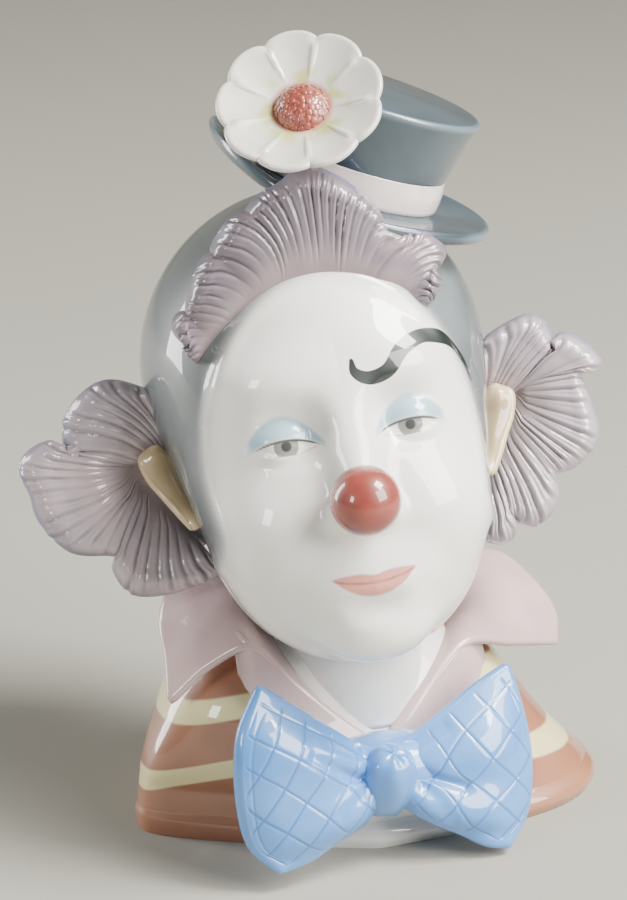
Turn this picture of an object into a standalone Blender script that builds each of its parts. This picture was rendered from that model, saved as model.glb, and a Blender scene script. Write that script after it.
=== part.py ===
import math

import bpy
import bmesh
import numpy as np
from mathutils import Matrix, Vector

# Clown bust: a slip-cast, glazed porcelain ornament, fired as one piece.
# The bust faces -Y, its left hand is at +X, and its flat underside lies on Z = 0.

# Sizes of the bust, in metres
bustHalfWidth = 0.080        # centre to the end of a shoulder
bustFrontDepth = 0.045       # centre to the front of the foot
bustBackDepth = 0.043        # centre to the back of the foot
shoulderHeight = 0.078       # foot to the root of the neck
neckRadius = 0.023
collarThickness = 0.0034

# Sizes of the head, in metres
headRadius = 0.060           # half width of the skull above the ears
headRise = 0.0808            # skull centre above the root of the neck
headSideways = -0.0160       # skull centre towards the bust's right hand
headBackwards = 0.008        # skull centre behind the bust's centre
noseRadius = 0.0115
earThickness = 0.0034
frillThickness = 0.0036
pleatDepth = 0.0028          # height of a pleat above the groove beside it

# Sizes of the hat and its flower, in metres
hatBrimRadius = 0.0505
hatBandRadius = 0.0292
hatTopRadius = 0.0362
hatCrownHeight = 0.0365
hatBandHeight = 0.0115
hatBrimThickness = 0.0046
flowerRadius = 0.0276
flowerClearance = 0.0060     # gap that keeps the petals off the crown
flowerDish = 0.0080          # how far the petal tips stand above the flower's middle
petalThickness = 0.0026
flowerButtonRadius = 0.0098

# Sizes of the bow, in metres
bowKnotHeight = 0.0265
bowKnotWidth = 0.0195
bowEdgeThickness = 0.0038
bowPillow = 0.0045           # extra thickness in the middle of each wing

# Pose of the head on the neck, in degrees
headNod = -18.2              # chin lifted
headLean = -7.4              # crown towards the bust's right shoulder
headTurn = -12.3             # face towards the bust's right hand

# Counts
petalCount = 9
crestPleats = 25
earFrillPleats = 23

# Fineness of the solid
fuseGrain = 0.0009           # grid step at which the forms are fused, as slip fuses them
triangleBudget = 9400

# The free forms are drawn in sculptor's units, which are 1 mm at the real size.
headUnit = headRadius / 60.0
headHeight = shoulderHeight + headRise
bustUnit = bustHalfWidth / 80.0


def smoothCurve(points, count):
    points = np.asarray(points, float)
    last = len(points) - 1
    where = np.linspace(0.0, last, count)
    start = np.minimum(where.astype(int), last - 1)
    part = (where - start).reshape((-1,) + (1,) * (points.ndim - 1))
    padded = np.concatenate([2 * points[:1] - points[1:2], points, 2 * points[-1:] - points[-2:-1]])
    before, here, there, after = (padded[start + step] for step in range(4))
    return 0.5 * (
        2 * here
        + (there - before) * part
        + (2 * before - 5 * here + 4 * there - after) * part**2
        + (3 * here - before - 3 * there + after) * part**3
    )


def loftRays(rays, across, along):
    # Rays run from the root of a sheet to its rim; the result is a grid of points.
    alongEach = np.stack([smoothCurve(ray, along) for ray in rays])
    return smoothCurve(alongEach, across)


def gridNormals(grid):
    first = np.gradient(grid, axis=0)
    second = np.gradient(grid, axis=1)
    normal = np.cross(first, second)
    return normal / np.maximum(np.linalg.norm(normal, axis=2, keepdims=True), 1e-12)


def facingOut(vertices, faces):
    # Turns every face round if the closed shell is inside out.
    volume = 0.0
    for face in faces:
        for second, third in zip(face[1:-1], face[2:]):
            volume += np.dot(vertices[face[0]], np.cross(vertices[second], vertices[third]))
    if volume < 0:
        faces = [tuple(reversed(face)) for face in faces]
    return vertices, faces


def thickSheet(grid, thickness, roundSteps=3):
    # Gives a grid sheet a thickness and a half-round edge all the way round.
    rows, columns = grid.shape[:2]
    normal = gridNormals(grid)
    half = np.broadcast_to(np.asarray(thickness, float) / 2, (rows, columns))[..., None]
    vertices = np.concatenate([(grid + normal * half).reshape(-1, 3), (grid - normal * half).reshape(-1, 3)])
    number = np.arange(rows * columns).reshape(rows, columns)
    faces = []
    for row in range(rows - 1):
        for column in range(columns - 1):
            a, b = number[row, column], number[row + 1, column]
            c, d = number[row + 1, column + 1], number[row, column + 1]
            faces.append((a, b, c, d))
            faces.append(tuple(corner + rows * columns for corner in (d, c, b, a)))
    ring = (
        [(row, 0) for row in range(rows)]
        + [(rows - 1, column) for column in range(1, columns)]
        + [(row, columns - 1) for row in range(rows - 2, -1, -1)]
        + [(0, column) for column in range(columns - 2, 0, -1)]
    )
    loops = [[number[spot] for spot in ring]]
    extra = []
    for step in range(1, roundSteps + 1):
        angle = math.pi * step / (roundSteps + 1)
        loop = []
        for index, (row, column) in enumerate(ring):
            before, after = grid[ring[index - 1]], grid[ring[(index + 1) % len(ring)]]
            outward = np.cross(after - before, normal[row, column])
            outward /= max(np.linalg.norm(outward), 1e-12)
            inside = grid[min(max(row, 1), rows - 2), min(max(column, 1), columns - 2)]
            if np.dot(outward, grid[row, column] - inside) < 0:
                outward = -outward
            reach = half[row, column, 0]
            spot = grid[row, column] + reach * (
                math.cos(angle) * normal[row, column] + math.sin(angle) * outward
            )
            loop.append(len(vertices) + len(extra))
            extra.append(spot)
        loops.append(loop)
    loops.append([number[spot] + rows * columns for spot in ring])
    vertices = np.concatenate([vertices, np.array(extra)])
    for near, far in zip(loops[:-1], loops[1:]):
        for index in range(len(ring)):
            after = (index + 1) % len(ring)
            faces.append((near[after], near[index], far[index], far[after]))
    return facingOut(vertices, faces)


def closedLoft(rings):
    # Rings are stacked loops of the same count; a fan of triangles closes each end.
    rings = np.asarray(rings, float)
    levels, around = rings.shape[:2]
    vertices = np.concatenate([rings.reshape(-1, 3), [rings[0].mean(axis=0)], [rings[-1].mean(axis=0)]])
    bottom, top = levels * around, levels * around + 1
    faces = []
    for level in range(levels - 1):
        for spoke in range(around):
            following = (spoke + 1) % around
            low, high = level * around, (level + 1) * around
            faces.append((low + spoke, low + following, high + following, high + spoke))
    for spoke in range(around):
        following = (spoke + 1) % around
        faces.append((bottom, following, spoke))
        faces.append((top, (levels - 1) * around + spoke, (levels - 1) * around + following))
    return facingOut(vertices, faces)


def ellipsoid(points, centre, radii):
    scaled = (points - np.array(centre)) / np.array(radii)
    near = np.linalg.norm(scaled, axis=-1)
    far = np.linalg.norm(scaled / np.array(radii), axis=-1)
    return near * (near - 1.0) / np.maximum(far, 1e-9)


def rod(points, start, end, radius):
    start, end = np.array(start, float), np.array(end, float)
    along = end - start
    share = np.clip(((points - start) @ along) / (along @ along), 0.0, 1.0)
    return np.linalg.norm(points - start - share[..., None] * along, axis=-1) - radius


def merge(first, second, softness):
    overlap = np.maximum(softness - np.abs(first - second), 0.0) / softness
    return np.minimum(first, second) - overlap**2 * softness / 4


def carve(body, cutter, softness):
    return -merge(-body, cutter, softness)


def headForm(points):
    # Signed distance to the bald head and its calm, regular face, in head units.
    # x is the head's left, -y the way it looks, and z up from the middle of the skull.
    mirrored = np.concatenate([np.abs(points[..., :1]), points[..., 1:]], axis=-1)
    form = ellipsoid(mirrored, (0, 5, 0), (58.6, 65.5, 59.6))
    form = merge(form, ellipsoid(mirrored, (0, -17, -38), (50, 45.5, 58)), 16)
    form = merge(form, ellipsoid(mirrored, (0, -26, -66), (37, 34, 33)), 14)
    form = merge(form, ellipsoid(mirrored, (22, -40, -51), (20, 19.5, 18)), 14)
    form = merge(form, ellipsoid(mirrored, (15, -47.5, -4), (18, 11, 9)), 12)
    form = merge(form, ellipsoid(mirrored, (0, -46, -88), (16, 13, 11)), 10)
    form = merge(form, ellipsoid(mirrored, (0, -50, -70), (19, 12.5, 13)), 10)
    form = carve(form, ellipsoid(mirrored, (20.5, -68.0, -20), (15, 11, 8.5)), 8)
    form = merge(form, ellipsoid(mirrored, (20.5, -47.0, -24), (11.5, 12.0, 10.5)), 2)
    lid = np.maximum(ellipsoid(mirrored, (20.5, -46.6, -23.5), (13.2, 13.6, 11.8)), -23.0 - mirrored[..., 2])
    form = merge(form, lid, 1.2)
    form = merge(form, rod(mirrored, (0, -55, -10), (0, -65, -42), 5.6), 10)
    form = merge(form, ellipsoid(mirrored, (6.2, -63, -49.5), (5.5, 6, 4.4)), 5)
    form = merge(form, rod(mirrored, (0, -61.0, -68.9), (14, -57.4, -66.4), 2.6), 2.5)
    form = merge(form, rod(mirrored, (0, -60.6, -73.9), (10, -58.2, -71.6), 3.0), 2.5)
    form = carve(form, ellipsoid(mirrored, (0, -67.5, -81), (12, 7, 3.6)), 6)
    return form


def surfaceAlong(field, centre, directions, reach):
    # Walks in from outside along each direction until it meets the form.
    distance = np.full(directions.shape[:-1], reach)
    for _ in range(60):
        step = field(np.array(centre) + directions * distance[..., None])
        distance = distance - 0.85 * step
    return np.array(centre) + directions * distance[..., None]


def headRings(rings, around):
    # The loft's poles are at the face and the nape, so the face has the closest rings.
    share = np.linspace(0.0, 1.0, rings)
    polar = np.radians(0.6 + 178.8 * (0.62 * share + 0.38 * share**3))
    turn = np.linspace(0.0, 2 * math.pi, around, endpoint=False)
    directions = np.stack(
        [
            np.sin(polar)[:, None] * np.cos(turn)[None, :],
            -np.cos(polar)[:, None] * np.ones(around)[None, :],
            np.sin(polar)[:, None] * np.sin(turn)[None, :],
        ],
        axis=-1,
    )
    return surfaceAlong(headForm, (0.0, -8.0, -28.0), directions, 118.0)


# The way from head units to metres in the bust's frame
headPlace = (
    Matrix.Translation((headSideways, headBackwards, headHeight))
    @ Matrix.Rotation(math.radians(headTurn), 4, "Z")
    @ Matrix.Rotation(math.radians(headLean), 4, "Y")
    @ Matrix.Rotation(math.radians(headNod), 4, "X")
    @ Matrix.Scale(headUnit, 4)
)


def placed(matrix, points):
    matrix = np.array(matrix)
    return np.asarray(points, float) @ matrix[:3, :3].T + matrix[:3, 3]


def standAt(centre, upwards, forwards):
    # A frame in head units whose z is upwards and whose -y looks as far forwards as it can.
    up = Vector(upwards).normalized()
    right = up.cross(Vector(forwards)).normalized()
    back = up.cross(right)
    frame = Matrix((right, back, up)).transposed().to_4x4()
    frame.translation = Vector(centre)
    return frame


def head():
    vertices, faces = closedLoft(headRings(64, 96))
    return placed(headPlace, vertices), faces


def ball(centre, radii, place, plumpness=1.0, rings=18, around=28):
    # A plumpness under one squares the ball's shoulders towards a barrel.
    polar = np.linspace(0.04, math.pi - 0.04, rings)
    girth = np.sin(polar)[:, None] ** plumpness
    turn = np.linspace(0, 2 * math.pi, around, endpoint=False)
    loops = np.stack(
        [
            girth * np.cos(turn) * radii[0] + centre[0],
            girth * np.sin(turn) * radii[1] + centre[1],
            np.cos(polar)[:, None] * np.ones(around) * radii[2] + centre[2],
        ],
        axis=-1,
    )
    vertices, faces = closedLoft(loops)
    return placed(place, vertices), faces


def noseBall():
    radius = noseRadius / headUnit
    return ball((0.0, -73.0, -45.0), (radius, radius, radius), headPlace)


def ear(side):
    # The ear's shell from its top to its lobe: its root in the head, its fold, its free edge.
    rays = [
        [(56, -4, -21.5), (58.5, -6, -20), (60.5, -4.5, -20.5)],
        [(53, -5, -24.5), (58.5, -9, -22.5), (63.5, -6, -23)],
        [(52, -6, -29), (57, -10, -28.5), (62, -7, -29.5)],
        [(50.5, -8, -35), (54.5, -11.5, -35), (58.5, -9, -35.5)],
        [(49, -10, -41), (52, -13, -41.5), (55, -12, -41.5)],
        [(48, -12, -45.5), (50, -14.5, -46.5), (51.5, -14, -47)],
    ]
    grid = loftRays(np.array(rays) * (side, 1, 1), 18, 8)
    vertices, faces = thickSheet(grid, earThickness / headUnit)
    return placed(headPlace, vertices), faces


# Each frill from the front of the head. The root is a curve of x and z; the rim is given by its angle round
# the middle, in degrees, and its reach, rib by rib; the bend is how far the ribs bow out of straight.
crest = {
    "middle": (-1, -12),
    "root": [(-42, 8), (-26, 20), (-10, 26.5), (6, 25), (21, 19.5), (31, 13.5)],
    "rim": [
        (150, 51), (142, 55.5), (135, 55.5), (128, 58), (121, 62), (114, 63), (108, 66.5), (101, 69),
        (94, 70), (88, 73), (82, 70), (75, 66), (68, 62), (58, 57), (50, 61), (43, 59), (40.5, 52), (35, 47),
    ],
    "bend": [0.09, 0.02, -0.08, -0.15, -0.06, 0.0, 0.03, 0.05, 0.03, 0.06],
    "notches": [0.08, 0.24, 0.37, 0.74, 0.92],
    "side": 1,
}

rightFrill = {
    "middle": (54, -36),
    "root": [(49.5, -27.5), (55.5, -26), (63, -24), (64.5, -29.5), (61, -38), (49, -55)],
    "rim": [
        (87, 35.5), (68, 42.5), (54, 43.5), (41, 42), (30, 39), (30.5, 46), (21, 51), (11, 46.5),
        (0, 44.5), (-17, 39), (-33, 30), (-42, 32), (-56, 34), (-72, 31.5), (-90, 30), (-110, 31.5),
    ],
    "bend": [0.05, 0.13, 0.14, -0.01, -0.05, -0.04, 0.03, 0.0, 0.01, 0.05],
    "notches": [0.27, 0.68],
    "side": -1,
}

leftFrill = {
    "middle": (54, -36),
    "root": [(54.5, -23), (60, -25.5), (65, -22), (64, -28), (58, -39), (50.5, -52.5)],
    "rim": [
        (80, 34.5), (60, 41.5), (51, 40), (43.5, 38.5), (40, 42.5), (24, 45), (22.5, 38), (8, 35.5),
        (-9, 35.5), (-25, 31), (-39, 27), (-55, 31), (-71, 32), (-82, 29), (-89, 33.5), (-99, 36),
    ],
    "bend": [0.03, 0.09, 0.05, 0.05, 0.01, -0.03, -0.02, 0.0, 0.0, 0.0],
    "notches": [0.20, 0.38, 0.67, 0.87],
    "side": 1,
}

# How far forward the sheets stand at rising shares of the way out; the last of each sheet rolls back.
wayOut = (0.0, 0.24, 0.5, 0.76, 0.92, 1.0)
crestDepths = (-50, -54, -56, -57, -57, -52.5)
earFrillDepths = (3, -1, -4, -5, -5, -1)


def ribsOf(frill, depths):
    # Ribs as rows of points from the root to the rim.
    count = len(frill["rim"])
    roots, bends = smoothCurve(frill["root"], count), smoothCurve(frill["bend"], count)
    ribs = []
    for root, bend, (degrees, reach) in zip(roots, bends, frill["rim"]):
        angle = math.radians(degrees)
        chord = np.array(frill["middle"]) + reach * np.array([math.cos(angle), math.sin(angle)]) - root
        bow = 4 * bend * np.array([-chord[1], chord[0]])
        rib = []
        for share, depth in zip(wayOut, depths):
            x, z = root + chord * share + bow * share * (1 - share)
            rib.append((frill["side"] * x, depth, z))
        ribs.append(rib)
    return ribs


def crestRibs():
    # The crest follows the brow of the skull round, and its root lies in the forehead.
    ribs = ribsOf(crest, crestDepths)
    return [[(x, y + 11 * (min(abs(x), 45) / 40) ** 2, z) for x, y, z in rib] for rib in ribs]


def earFrillRibs(frill):
    # An ear's frill starts inside the head, behind the ear.
    ribs = ribsOf(frill, earFrillDepths)
    starts = np.linspace(-26, -54, len(ribs))
    return [[(frill["side"] * 47, 7, start)] + rib for start, rib in zip(starts, ribs)]


def ruffled(across, notches):
    # One at the middle of each lobe, nought at each notch.
    ends = np.array([0.0] + notches + [1.0])
    lobe = np.clip(np.searchsorted(ends, across, side="right") - 1, 0, len(ends) - 2)
    share = (across - ends[lobe]) / (ends[lobe + 1] - ends[lobe])
    return np.sin(math.pi * np.clip(share, 0.0, 1.0)) ** 0.7


def pleated(grid, pleats, depth, notches, facing):
    # Raises round ribs with grooves between them that fade before the smooth rolled rim.
    across = np.linspace(0, 1, grid.shape[0])
    along = np.linspace(0, 1, grid.shape[1])
    sway = 0.42 * np.sin(2 * math.pi * 1.7 * across + 0.82) + 0.26 * np.sin(2 * math.pi * 4.3 * across + 2.51)
    rib = 0.4 - 0.5 * np.cos(2 * math.pi * (pleats * across + sway))[:, None]
    rise = np.clip((along - 0.15) / 0.2, 0, 1)[None, :] * np.clip((0.96 - along) / 0.14, 0, 1)[None, :]
    lobes = (ruffled(across, notches)[:, None] - 0.5) * along[None, :] ** 2
    return grid + facing * gridNormals(grid) * (depth * (rib * rise + 1.2 * lobes))[..., None]


def frillShell(frill, ribs, pleats):
    drawn = loftRays(ribs, 6 * pleats + 1, 17)
    grid = pleated(drawn, pleats, pleatDepth / headUnit, frill["notches"], frill["side"])
    vertices, faces = thickSheet(grid, frillThickness / headUnit)
    return placed(headPlace, vertices), faces


# The hat stands on the slope of the skull, above the head's left temple.
hatSeat = (18.8, -11.0, 54.0)
hatLeans = Vector((0.428, -0.264, 0.864))


def hatFrame():
    return headPlace @ standAt(hatSeat, hatLeans, (0, -1, 0)) @ Matrix.Scale(1 / headUnit, 4)


def hatRings(around):
    # The outline from the middle of the sole, round the brim and up to the middle of the crown.
    half = hatBrimThickness / 2
    outline = [(0.002, -half), (hatBandRadius, -half), (hatBrimRadius - half, -half)]
    for degrees in (-50, 0, 50):
        angle = math.radians(degrees)
        outline.append((hatBrimRadius - half + half * math.cos(angle), half * math.sin(angle)))
    outline += [(hatBrimRadius - half, half), (hatBandRadius + 0.0075, half)]
    outline += [(hatBandRadius + 0.0009, half + 0.0004)]
    bandTop = half + hatBandHeight
    outline += [(hatBandRadius + 0.0012, half + 0.002), (hatBandRadius + 0.0018, bandTop)]
    outline += [(hatBandRadius + 0.0011, bandTop + 0.0004)]
    for share in (0.5, 0.93):
        height = bandTop + (hatCrownHeight - bandTop) * share
        outline.append((hatBandRadius + (hatTopRadius - hatBandRadius) * share, height))
    outline += [(hatTopRadius - 0.0008, hatCrownHeight), (hatTopRadius * 0.7, hatCrownHeight + 0.0012)]
    outline += [(0.002, hatCrownHeight + 0.0016)]
    turn = np.linspace(0, 2 * math.pi, around, endpoint=False)
    loops = []
    for radius, height in outline:
        out = np.clip((radius - hatBandRadius) / (hatBrimRadius - hatBandRadius), 0, 1)
        out = out if height < hatBandHeight else 0.0
        curl = out**2 * np.cos(turn) ** 2 * (0.006 - 0.004 * np.cos(turn))
        narrow = 1 - 0.10 * out * np.sin(turn) ** 2
        loops.append(
            np.stack([radius * np.cos(turn) * narrow, radius * np.sin(turn) * narrow, height + curl], axis=-1)
        )
    return np.array(loops)


def hat():
    vertices, faces = closedLoft(hatRings(56))
    return placed(hatFrame(), vertices), faces


def flowerFrame():
    # The flower sits against the front of the crown, on the head's right side of it.
    hatPlace = hatFrame()
    angle = math.radians(-129)
    height = hatCrownHeight * 0.58
    wall = hatBandRadius + (hatTopRadius - hatBandRadius) * 0.6
    spot = hatPlace @ Vector((wall * math.cos(angle), wall * math.sin(angle), height))
    looks = Vector((-0.365, -0.556, 0.747)).normalized()
    frame = standAt((0, 0, 0), looks, (0, 0, 1))
    frame.translation = spot + looks * (flowerButtonRadius * 0.55 + flowerClearance)
    return frame


def petalMiddle(turn):
    # One along the middle of each petal, nought in the notch between two; the first points 6 degrees round.
    return np.abs(np.cos(petalCount * (turn - math.radians(6)) / 2))


def flowerRings(rings, around):
    turn = np.linspace(0, 2 * math.pi, around, endpoint=False)
    edge = flowerRadius * (0.915 + 0.085 * petalMiddle(turn) ** 0.55)
    gap = 1 - petalMiddle(turn) ** 0.5
    loops = []
    for share in np.linspace(0.02, 1.0, rings):
        height = flowerDish * share**1.5 - 0.0016 * gap * share
        loops.append(np.stack([edge * share * np.cos(turn), edge * share * np.sin(turn), height], axis=-1))
    loops.append(loops[-1] * (1.012, 1.012, 1) - (0, 0, petalThickness / 2))
    for share in np.linspace(1.0, 0.02, rings):
        height = flowerDish * share**1.5 - 0.0016 * gap * share - petalThickness
        loops.append(np.stack([edge * share * np.cos(turn), edge * share * np.sin(turn), height], axis=-1))
    return np.array(loops)


def flower():
    vertices, faces = closedLoft(flowerRings(9, petalCount * 8))
    return placed(flowerFrame(), vertices), faces


def flowerButton():
    radius = flowerButtonRadius
    return ball((0, 0, 0), (radius, radius, radius * 0.72), flowerFrame())


def flowerStalk():
    # A short plug of porcelain behind the flower that luts it to the crown.
    return ball((0, 0, -0.011), (0.008, 0.008, 0.014), flowerFrame())


def neck():
    low = np.array([-0.009, -0.004, 0.040]) * (bustUnit / 0.001, bustUnit / 0.001, shoulderHeight / 0.078)
    high = placed(headPlace, [(0, -6, -62)])[0]
    turn = np.linspace(0, 2 * math.pi, 36, endpoint=False)
    loops = []
    for share in np.linspace(0, 1, 9):
        radius = neckRadius * (1 + 0.45 * (1 - share) ** 2.2)
        middle = low + (high - low) * share
        loops.append(
            np.stack([middle[0] + radius * np.cos(turn), middle[1] + radius * np.sin(turn),
                      np.full(36, middle[2])], axis=-1)
        )
    return closedLoft(loops)


# Outline of the bust at rising heights: height, right end, left end, front, back, in units of 1 mm
bustLevels = [
    (-3, -84, 79, 1.05, 1.00),
    (0, -84.5, 80, 1.05, 1.00),
    (3, -85, 82.5, 1.07, 1.03),
    (6, -85, 82, 1.05, 1.02),
    (8.5, -84.3, 79, 1.01, 1.00),
    (11, -84, 77, 0.99, 0.98),
    (24, -82, 65, 0.93, 0.95),
    (38, -76.5, 54.5, 0.84, 0.91),
    (50, -71, 46, 0.74, 0.86),
    (60, -62, 34, 0.63, 0.80),
    (69, -47, 21, 0.54, 0.70),
    (75, -34, 13, 0.46, 0.56),
    (78, -22, 4, 0.36, 0.36),
]


def bust():
    # The section is squarish and narrows towards the right arm at the foot, and is oval at the top.
    levels = smoothCurve(bustLevels, 44)
    turn = np.linspace(0, 2 * math.pi, 88, endpoint=False)
    loops = []
    for height, right, left, front, back in levels:
        middle, half = (right + left) / 2, (left - right) / 2
        slimness = np.clip((height - 18) / 28, 0, 1)
        squareness = 0.62 + 0.2 * slimness
        across = np.sign(np.cos(turn)) * np.abs(np.cos(turn)) ** squareness
        taper = 1 - 0.68 * np.clip((-across - 0.15) / 0.85, 0, 1) * (1 - slimness)
        deep = taper * np.sign(np.sin(turn)) * np.abs(np.sin(turn)) ** (squareness + 0.06)
        depth = np.where(deep < 0, bustFrontDepth * front, bustBackDepth * back)
        loops.append(
            np.stack([(middle + half * across) * bustUnit, deep * depth,
                      np.full(88, height * shoulderHeight / 78)], axis=-1)
        )
    return closedLoft(loops)


collarRays = [
    [(-12, -40, 35), (-26, -37, 46.5), (-40, -33, 60), (-52, -26, 72.5), (-65, -19, 65), (-77, -15, 53)],
    [(-20, -33, 38), (-34, -27, 55), (-44, -21, 70), (-52, -16, 79.5), (-64, -11, 74), (-74.5, -6, 64)],
    [(-30, -20, 44), (-38, -14, 62), (-44, -8, 76), (-51, -4, 83.5), (-62, 0, 80.5), (-72.5, 5, 74)],
    [(-33, -2, 50), (-37, 2, 66), (-41, 6, 78), (-48, 9, 86), (-57, 12, 85), (-64.5, 16, 80.5)],
    [(-26, 17, 52), (-29, 21, 67), (-32, 25, 79), (-36, 30, 86), (-42, 34, 83), (-47, 37, 76)],
    [(-9, 25, 52), (-9, 29, 66), (-9, 33, 77), (-9, 38, 83), (-9, 42.5, 79), (-9, 45, 71)],
    [(9, 19, 50), (13, 23, 64), (17, 27, 74), (23, 32, 79), (31, 36, 76), (37, 38, 69)],
    [(15, 4, 46), (21, 7, 58), (28, 11, 67), (38, 16, 74), (48, 19, 75), (57, 21, 73)],
    [(12, -14, 42), (19, -10, 52), (28, -5, 62), (41, 2, 69), (54, 6, 69.5), (66, 10, 67)],
    [(2, -30, 38), (9, -24, 47), (18, -19, 57), (33, -14, 65.5), (52, -8, 63), (70, -4, 58.5)],
    [(-10, -40, 35), (-2, -37, 41.5), (8, -33, 49.5), (26, -26, 61.5), (46, -20, 56.5), (66.5, -14, 51)],
]

collarStandRays = [
    [[(-17, -43, 30), (-12, -40, 35)], [(-31, -41, 38), (-26, -37, 46.5)], [(-43, -36, 48), (-40, -33, 60)],
     [(-52, -29, 57), (-52, -26, 72)], [(-54, -22, 62), (-55, -20, 76)]],
    [[(-5, -43, 29), (-10, -40, 35)], [(6, -41, 33), (0, -37, 42.5)], [(17, -34.5, 38.5), (11, -32, 51.5)],
     [(30, -26, 45.5), (25, -26, 61)], [(37, -18, 49), (33, -18, 64)]],
]


def bustPlaced(points):
    # Bust units to metres; depths and heights follow their own driving sizes.
    scale = (bustUnit, bustFrontDepth / 45.0, shoulderHeight / 78.0)
    return np.asarray(points, float) * scale


def collar():
    return thickSheet(bustPlaced(loftRays(collarRays, 61, 22)), collarThickness)


def collarStand(rays):
    return thickSheet(bustPlaced(loftRays(rays, 14, 6)), collarThickness)


bowWings = [
    # The bust's right wing, from its lower edge to its upper edge, knot first
    [
        [(-19, -57, 24), (-27, -61, 19), (-37, -62, 14.5), (-47, -63.5, 10.5), (-57, -64, 8.5)],
        [(-19, -57, 28), (-29, -62, 25.5), (-42, -64, 21), (-55, -63, 18.5), (-65, -60, 18)],
        [(-19, -55, 31), (-30, -58, 32), (-43, -60.5, 32), (-57, -60, 33), (-67.5, -57, 36)],
        [(-19, -54, 34), (-30, -56.5, 39), (-42, -58, 44), (-55, -56.5, 49), (-65.5, -53, 53.5)],
        [(-19, -52, 38.5), (-27, -51, 43), (-35, -50, 49), (-47, -48.5, 58), (-57.5, -47, 66)],
    ],
    # The bust's left wing
    [
        [(-10, -58, 22), (-2, -62, 16.5), (9, -64, 10.5), (17, -66.5, 6), (24.5, -67, 4)],
        [(-10, -58, 26), (2, -63, 20.5), (17, -65, 15), (26, -63.5, 12.5), (33.5, -60, 13)],
        [(-10, -56, 29), (3, -58, 27), (19, -60, 25), (29, -58, 25), (37, -53.5, 27.5)],
        [(-10, -54, 32), (3, -55.5, 34.5), (18, -56.5, 37), (28, -53.5, 39.5), (36.5, -48, 43)],
        [(-10, -51.5, 37.5), (1, -49.5, 42.5), (13, -47, 48.5), (24, -44.5, 53.5), (34.5, -42, 57)],
    ],
]


# Folds pressed into each wing: start at the knot and end in x and z, depth and half width, in units of 1 mm
bowFolds = [
    [((-26, 41), (-44, 49.5), 1.8, 2.2), ((-27, 33), (-44, 44), 2.0, 2.0), ((-26, 28), (-36, 24), 1.0, 2.0)],
    [((-5, 31), (10, 24.5), 2.8, 2.3), ((-5, 39), (7.5, 42.5), 1.8, 2.2), ((-4, 26), (5, 17), 1.2, 2.0)],
]


def pressed(x, z, folds):
    # How deep the folds run at each point of the cloth; each dies away from the knot.
    deep = np.zeros(x.shape)
    for (startX, startZ), (endX, endZ), depth, width in folds:
        alongX, alongZ = endX - startX, endZ - startZ
        share = ((x - startX) * alongX + (z - startZ) * alongZ) / (alongX**2 + alongZ**2)
        inside = np.clip(share, 0, 1)
        gap = np.hypot(x - startX - inside * alongX, z - startZ - inside * alongZ)
        deep = np.maximum(deep, depth * (1 - 0.55 * inside) * np.exp(-((gap / width) ** 2)))
    return deep


def bowWing(rays, folds):
    # A wing is a pillowed sheet; a fold takes its depth off the front.
    drawn = loftRays(rays, 41, 43)
    across = np.sin(math.pi * np.linspace(0, 1, 41)) ** 0.7
    along = np.sin(math.pi * np.linspace(0.1, 0.93, 43)) ** 0.6
    deep = pressed(drawn[..., 0], drawn[..., 2], folds) * bustUnit
    grid = bustPlaced(drawn) + np.array([0, 0.5, 0]) * deep[..., None]
    return thickSheet(grid, bowEdgeThickness + bowPillow * across[:, None] * along[None, :] - deep)


def bowKnot():
    middle = bustPlaced([(-15.2, -56.5, 30)])[0]
    frame = Matrix.Translation(middle) @ Matrix.Rotation(math.radians(22), 4, "X")
    return ball((0, 0, 0), (bowKnotWidth / 2, 0.0095, bowKnotHeight / 2), frame, plumpness=0.6)


def bowSeat():
    # Porcelain behind the knot and wings that joins the bow to the chest.
    return ball(bustPlaced([(-13, -46, 29)])[0], (0.030, 0.014, 0.013), Matrix.Identity(4))


def meshOf(name, forms):
    vertices, faces, start = [], [], 0
    for points, polygons in forms:
        vertices.append(points)
        faces += [tuple(int(corner) + start for corner in polygon) for polygon in polygons]
        start += len(points)
    mesh = bpy.data.meshes.new(name)
    mesh.from_pydata([tuple(point) for point in np.concatenate(vertices)], [], faces)
    mesh.update()
    piece = bpy.data.objects.new(name, mesh)
    bpy.context.scene.collection.objects.link(piece)
    return piece


def evaluated(piece):
    # The piece as its modifiers leave it, as a new mesh.
    bpy.context.view_layer.update()
    graph = bpy.context.evaluated_depsgraph_get()
    return bpy.data.meshes.new_from_object(piece.evaluated_get(graph))


def fused(piece):
    # One closed skin round all the forms, with the joints softened as glaze softens them.
    remesh = piece.modifiers.new("fuse", "REMESH")
    remesh.mode = "VOXEL"
    remesh.voxel_size = fuseGrain
    soften = piece.modifiers.new("soften", "SMOOTH")
    soften.factor = 0.35
    soften.iterations = 2
    piece.data = evaluated(piece)
    piece.modifiers.clear()
    triangles = sum(len(polygon.vertices) - 2 for polygon in piece.data.polygons)
    thin = piece.modifiers.new("thin", "DECIMATE")
    thin.ratio = triangleBudget / triangles
    piece.data = evaluated(piece)
    piece.modifiers.clear()


def outerSkinOnly(shape):
    # Drops the skins of any small pockets the fused forms have sealed in.
    met = set()
    skins = []
    for first in shape.verts:
        if first in met:
            continue
        met.add(first)
        skin, waiting = [], [first]
        while waiting:
            spot = waiting.pop()
            skin.append(spot)
            for edge in spot.link_edges:
                beyond = edge.other_vert(spot)
                if beyond not in met:
                    met.add(beyond)
                    waiting.append(beyond)
        skins.append(skin)
    skins.sort(key=len)
    for skin in skins[:-1]:
        bmesh.ops.delete(shape, geom=skin, context="VERTS")


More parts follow.
